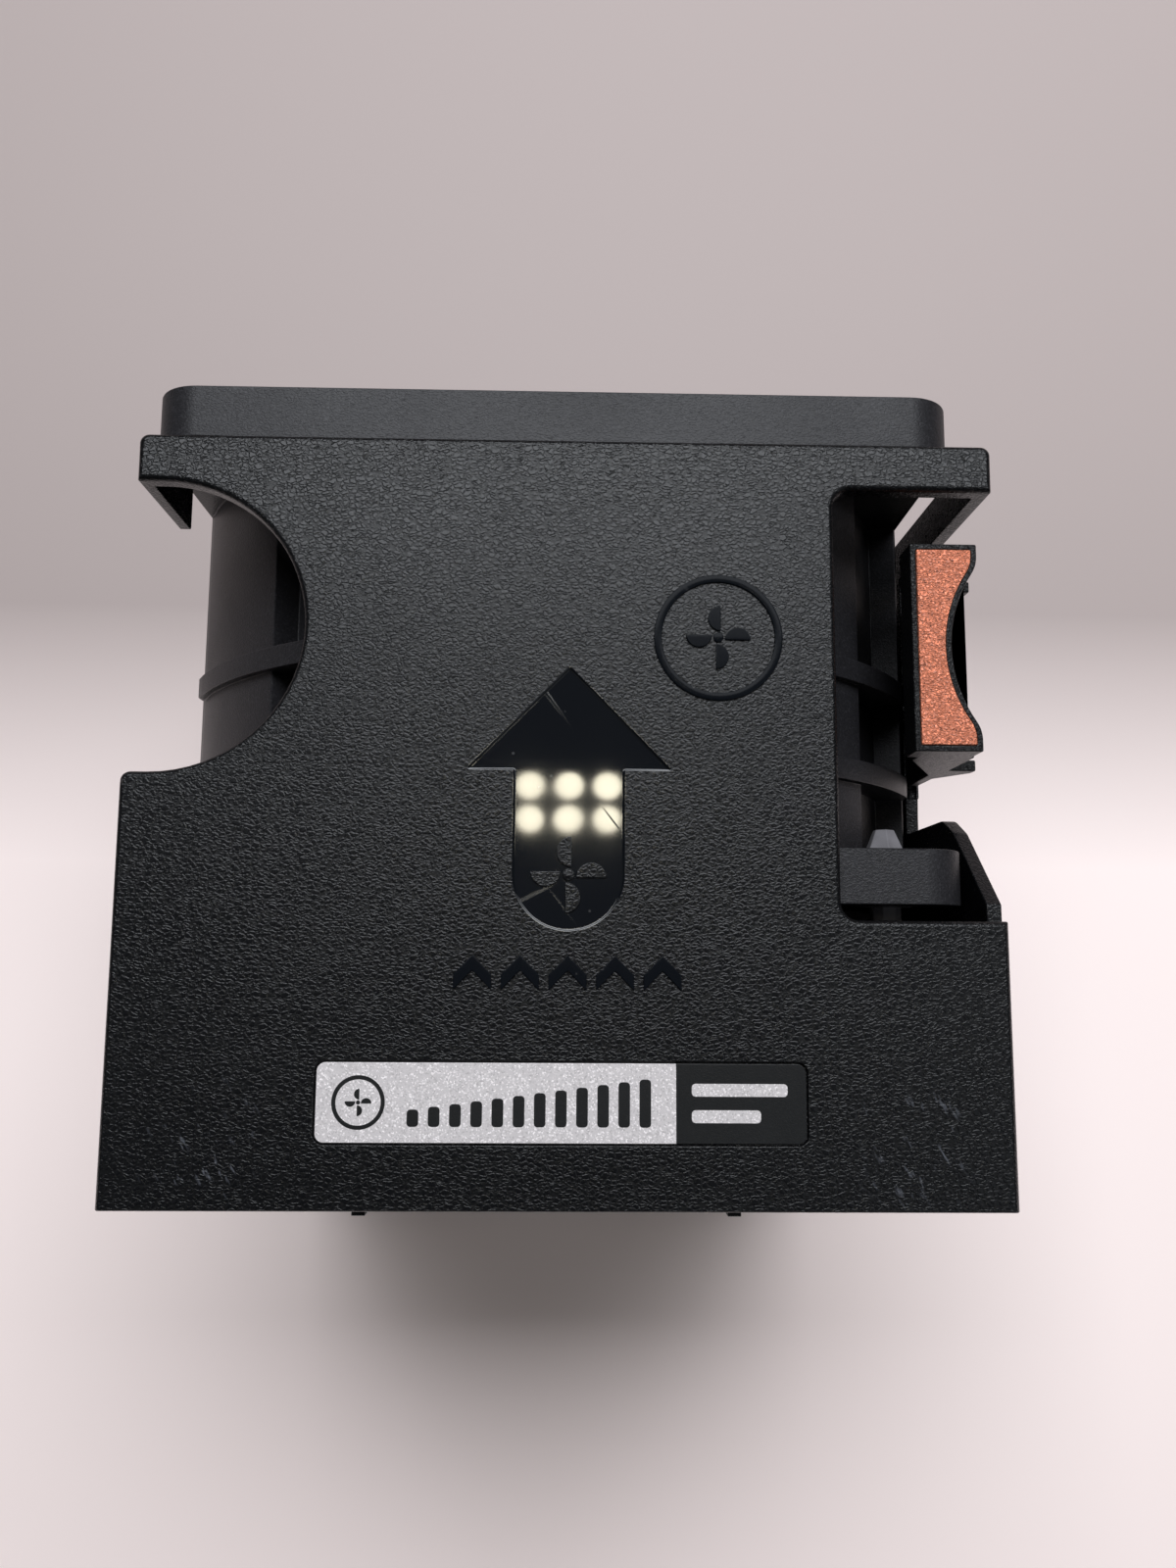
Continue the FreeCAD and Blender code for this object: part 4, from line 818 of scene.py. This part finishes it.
class FanModuleLabel(bpy.types.Operator):
    """Two-tone label and its print"""

    bl_idname = "fanmodule.label"
    bl_label = "Label"

    def execute(self, context):
        sizes = context.scene.fan_marks
        low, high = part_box("label_plate")
        split = low[0] + (high[0] - low[0]) * sizes.silver_share
        film = welded_copy("label_plate")
        soften(film, 0.05 * MM)
        bmesh.ops.bisect_plane(
            film, geom=film.verts[:] + film.edges[:] + film.faces[:], plane_co=(split, 0, 0),
            plane_no=(1, 0, 0))
        for face in film.faces:
            face.material_index = int(face.calc_center_median().x > split)
        label = add_piece("label_film", film, "module",
                          (finish_named("label_silver"), finish_named("label_black")))
        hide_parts("label_plate")
        self.add_print(sizes, low, high, split)
        return {"FINISHED"}

    def add_print(self, sizes, low, high, split):
        """Rotor in a ring, rising bars, and light bars on the black side."""
        level = high[2] - 0.005 * MM
        ink = 0.015 * MM
        middle = (low[1] + high[1]) / 2
        tall = high[1] - low[1]
        margin = tall * 0.2
        dark = bmesh.new()
        radius = tall / 2 - margin * 0.8
        centre = (low[0] + margin + radius, middle)
        ring(dark, centre, radius, radius - 0.28 * MM, level, ink)
        rotor_sign(dark, centre, radius * ROTOR_SHARE, level, ink)
        start = centre[0] + radius + margin * 1.4
        pitch = (split - margin - start) / sizes.ticks
        for step in range(sizes.ticks):
            rise = (tall - 2 * margin) * (0.3 + 0.7 * (step + 1) / sizes.ticks)
            self.add_bar(dark, start + pitch * step, start + pitch * (step + 0.55),
                         low[1] + margin, low[1] + margin + rise, level, ink)
        close(dark)
        add_piece("label_dark_print", dark, "module", finish_named("label_black"))
        light = bmesh.new()
        for row, share in ((0, 1.0), (1, 0.72)):
            top = high[1] - margin * 1.25 - row * tall * 0.33
            self.add_bar(light, split + margin, split + margin + (high[0] - split - 2.2 * margin) * share,
                         top - tall * 0.16, top, level, ink)
        close(light)
        add_piece("label_light_print", light, "module", finish_named("label_silver"))

    def add_bar(self, shape, left, right, bottom, top, level, ink):
        plate(shape, [(left, bottom), (right, bottom), (right, top), (left, top)], level, ink,
              min(right - left, top - bottom) * 0.3, 3)


class FanModuleInnards(bpy.types.Operator):
    """Finishes of the solids inside the hub and the base"""

    bl_idname = "fanmodule.innards"
    bl_label = "Innards"

    def execute(self, context):
        finish_of = {row["node"]: row["material_slot"] for row in frame["record"]["subparts"]}
        shown = {"carrier_shell", "base_cover", "inlet_guard", "fan_frame", "impeller",
                 "isolator_pins", "latch_arm", "touch_pad", "label_plate"}
        for node, slot in finish_of.items():
            if node not in shown:
                dress(node, slot)
        return {"FINISHED"}


# ---- stage ------------------------------------------------------------------------------------

def add_lamp(name, kind, place, aim, power, size, colour=(1.0, 1.0, 1.0)):
    """An area lamp that looks at a point."""
    data = bpy.data.lights.new(name, "AREA")
    data.shape = kind
    data.energy = power
    data.color = colour
    data.size = size[0]
    if kind == "RECTANGLE":
        data.size_y = size[1]
    lamp = bpy.data.objects.new(name, data)
    lamp.location = place
    lamp.rotation_euler = (Vector(aim) - Vector(place)).to_track_quat("-Z", "Y").to_euler()
    bpy.context.scene.collection.objects.link(lamp)


class FanModuleStage(bpy.types.Operator):
    """Pale floor with painted shade on its outlet side, soft lamps and the camera over the arrow face"""

    bl_idname = "fanmodule.stage"
    bl_label = "Stage"

    def execute(self, context):
        scene = context.scene
        view = scene.fan_view
        self.add_floor(tuple(scene.fan_colours.floor), tuple(scene.fan_colours.floor_painted_shade))
        self.add_lights(view)
        self.add_camera(scene, view)
        scene.view_settings.view_transform = "Standard"
        return {"FINISHED"}

    def add_floor(self, near_colour, painted_shade_colour):
        shape = bmesh.new()
        bmesh.ops.create_grid(shape, x_segments=1, y_segments=1, size=1.2)
        mesh = bpy.data.meshes.new("floor")
        shape.to_mesh(mesh)
        shape.free()
        floor = bpy.data.objects.new("floor", mesh)
        floor.location.z = SOLID_BOX[0][2]
        bpy.context.scene.collection.objects.link(floor)
        finish, tree, shader = new_finish("floor_with_painted_shade", near_colour, 0.6)
        place = tree.nodes.new("ShaderNodeSeparateXYZ")
        link(tree, object_place(tree), place.inputs[0])
        # Painted light: the floor colour runs from 6% darker on the left to 6% lighter on the right, which
        # stands for uneven light.
        across = remap(tree, place.outputs["X"], -0.12, 0.12, 0.94, 1.06)
        # Painted shade: beyond the middle, the floor turns to the darker tone within 34 mm.
        far = remap(tree, place.outputs["Y"], 0.0, 0.034)
        floor_tone_with_painted_shade = mix_colour(tree, far, near_colour, painted_shade_colour)
        cloud = remap(tree, noise(tree, 6.0, 2.0).outputs["Fac"], 0.3, 0.7, 0.985, 1.0)
        shade = mix_colour(tree, 1.0, floor_tone_with_painted_shade, maths(tree, "MULTIPLY", across, cloud), "MULTIPLY")
        link(tree, shade, shader.inputs["Base Color"])
        mesh.materials.append(finish)

    def add_lights(self, view):
        world = bpy.data.worlds.new("room")
        bpy.context.scene.world = world
        world.use_nodes = True
        tree = world.node_tree
        backdrop = tree.nodes["Background"]
        seen = tree.nodes.new("ShaderNodeLightPath").outputs["Is Camera Ray"]
        backdrop.inputs["Color"].default_value = (1.0, 0.96, 0.96, 1.0)
        link(tree, remap(tree, seen, 0.0, 1.0, view.roomlight, 0.5), backdrop.inputs["Strength"])
        middle = (0.0, 0.0, 0.04)
        add_lamp("ceiling_panel", "RECTANGLE", (0.04, 0.51, 0.80), (0.04, 0.511, 0.0),
                 view.daylight, (0.8, 0.58), (0.95, 0.98, 1.03))
        for name, place, share in (("left_lamp", (-0.60, -0.20, 0.70), 0.02),
                                   ("right_lamp", (0.50, -0.20, 0.74), 0.05)):
            add_lamp(name, "RECTANGLE", place, middle, view.daylight * share, (0.4, 0.6),
                     (0.9, 0.95, 1.0))
        level = 0.6
        for column in range(3):
            for row in range(2):
                place = ((-13.5 + 17.7 * column) * MM, (57.5 + 16.3 * row) * MM, level)
                add_lamp("ceiling_spot_%d_%d" % (column, row), "DISK", place,
                         (place[0], place[1], 0.0), 0.012, (13.0 * MM,), (1.0, 0.93, 0.72))

    def add_camera(self, scene, view):
        low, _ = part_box("carrier_shell")
        data = bpy.data.cameras.new("camera")
        data.lens = view.lens
        data.clip_start = 0.001
        camera = bpy.data.objects.new("camera", data)
        camera.location = (view.across, low[1] + view.along, face_height() + view.height)
        camera.rotation_euler = Euler(view.tilt, "XYZ")
        scene.collection.objects.link(camera)
        scene.camera = camera


class FanModulePanel(bpy.types.Panel):
    """Buttons for each group of pieces"""

    bl_idname = "VIEW3D_PT_fan_module"
    bl_label = "Fan Module"
    bl_space_type = "VIEW_3D"
    bl_region_type = "UI"
    bl_category = "Fan Module"

    def draw(self, context):
        for step in STEPS:
            self.layout.operator(step.bl_idname)
        for group in (context.scene.fan_marks, context.scene.fan_colours, context.scene.fan_view):
            column = self.layout.column()
            for field in group.bl_rna.properties.keys():
                if field not in ("rna_type", "name"):
                    column.prop(group, field)


STEPS = (FanModuleFinishes, FanModuleCarrier, FanModuleFan, FanModuleLatch, FanModuleMarks,
         FanModuleLabel, FanModuleInnards, FanModuleStage)
CLASSES = (MarkSizes, FinishColours, ViewSizes, *STEPS, FanModulePanel)


def register():
    for kind in CLASSES:
        bpy.utils.register_class(kind)
    bpy.types.Scene.fan_marks = PointerProperty(type=MarkSizes)
    bpy.types.Scene.fan_colours = PointerProperty(type=FinishColours)
    bpy.types.Scene.fan_view = PointerProperty(type=ViewSizes)


def unregister():
    for name in ("fan_marks", "fan_colours", "fan_view"):
        delattr(bpy.types.Scene, name)
    for kind in reversed(CLASSES):
        bpy.utils.unregister_class(kind)


def main():
    register()
    for step in STEPS:
        group, action = step.bl_idname.split(".")
        getattr(getattr(bpy.ops, group), action)()


if __name__ == "__main__":
    main()
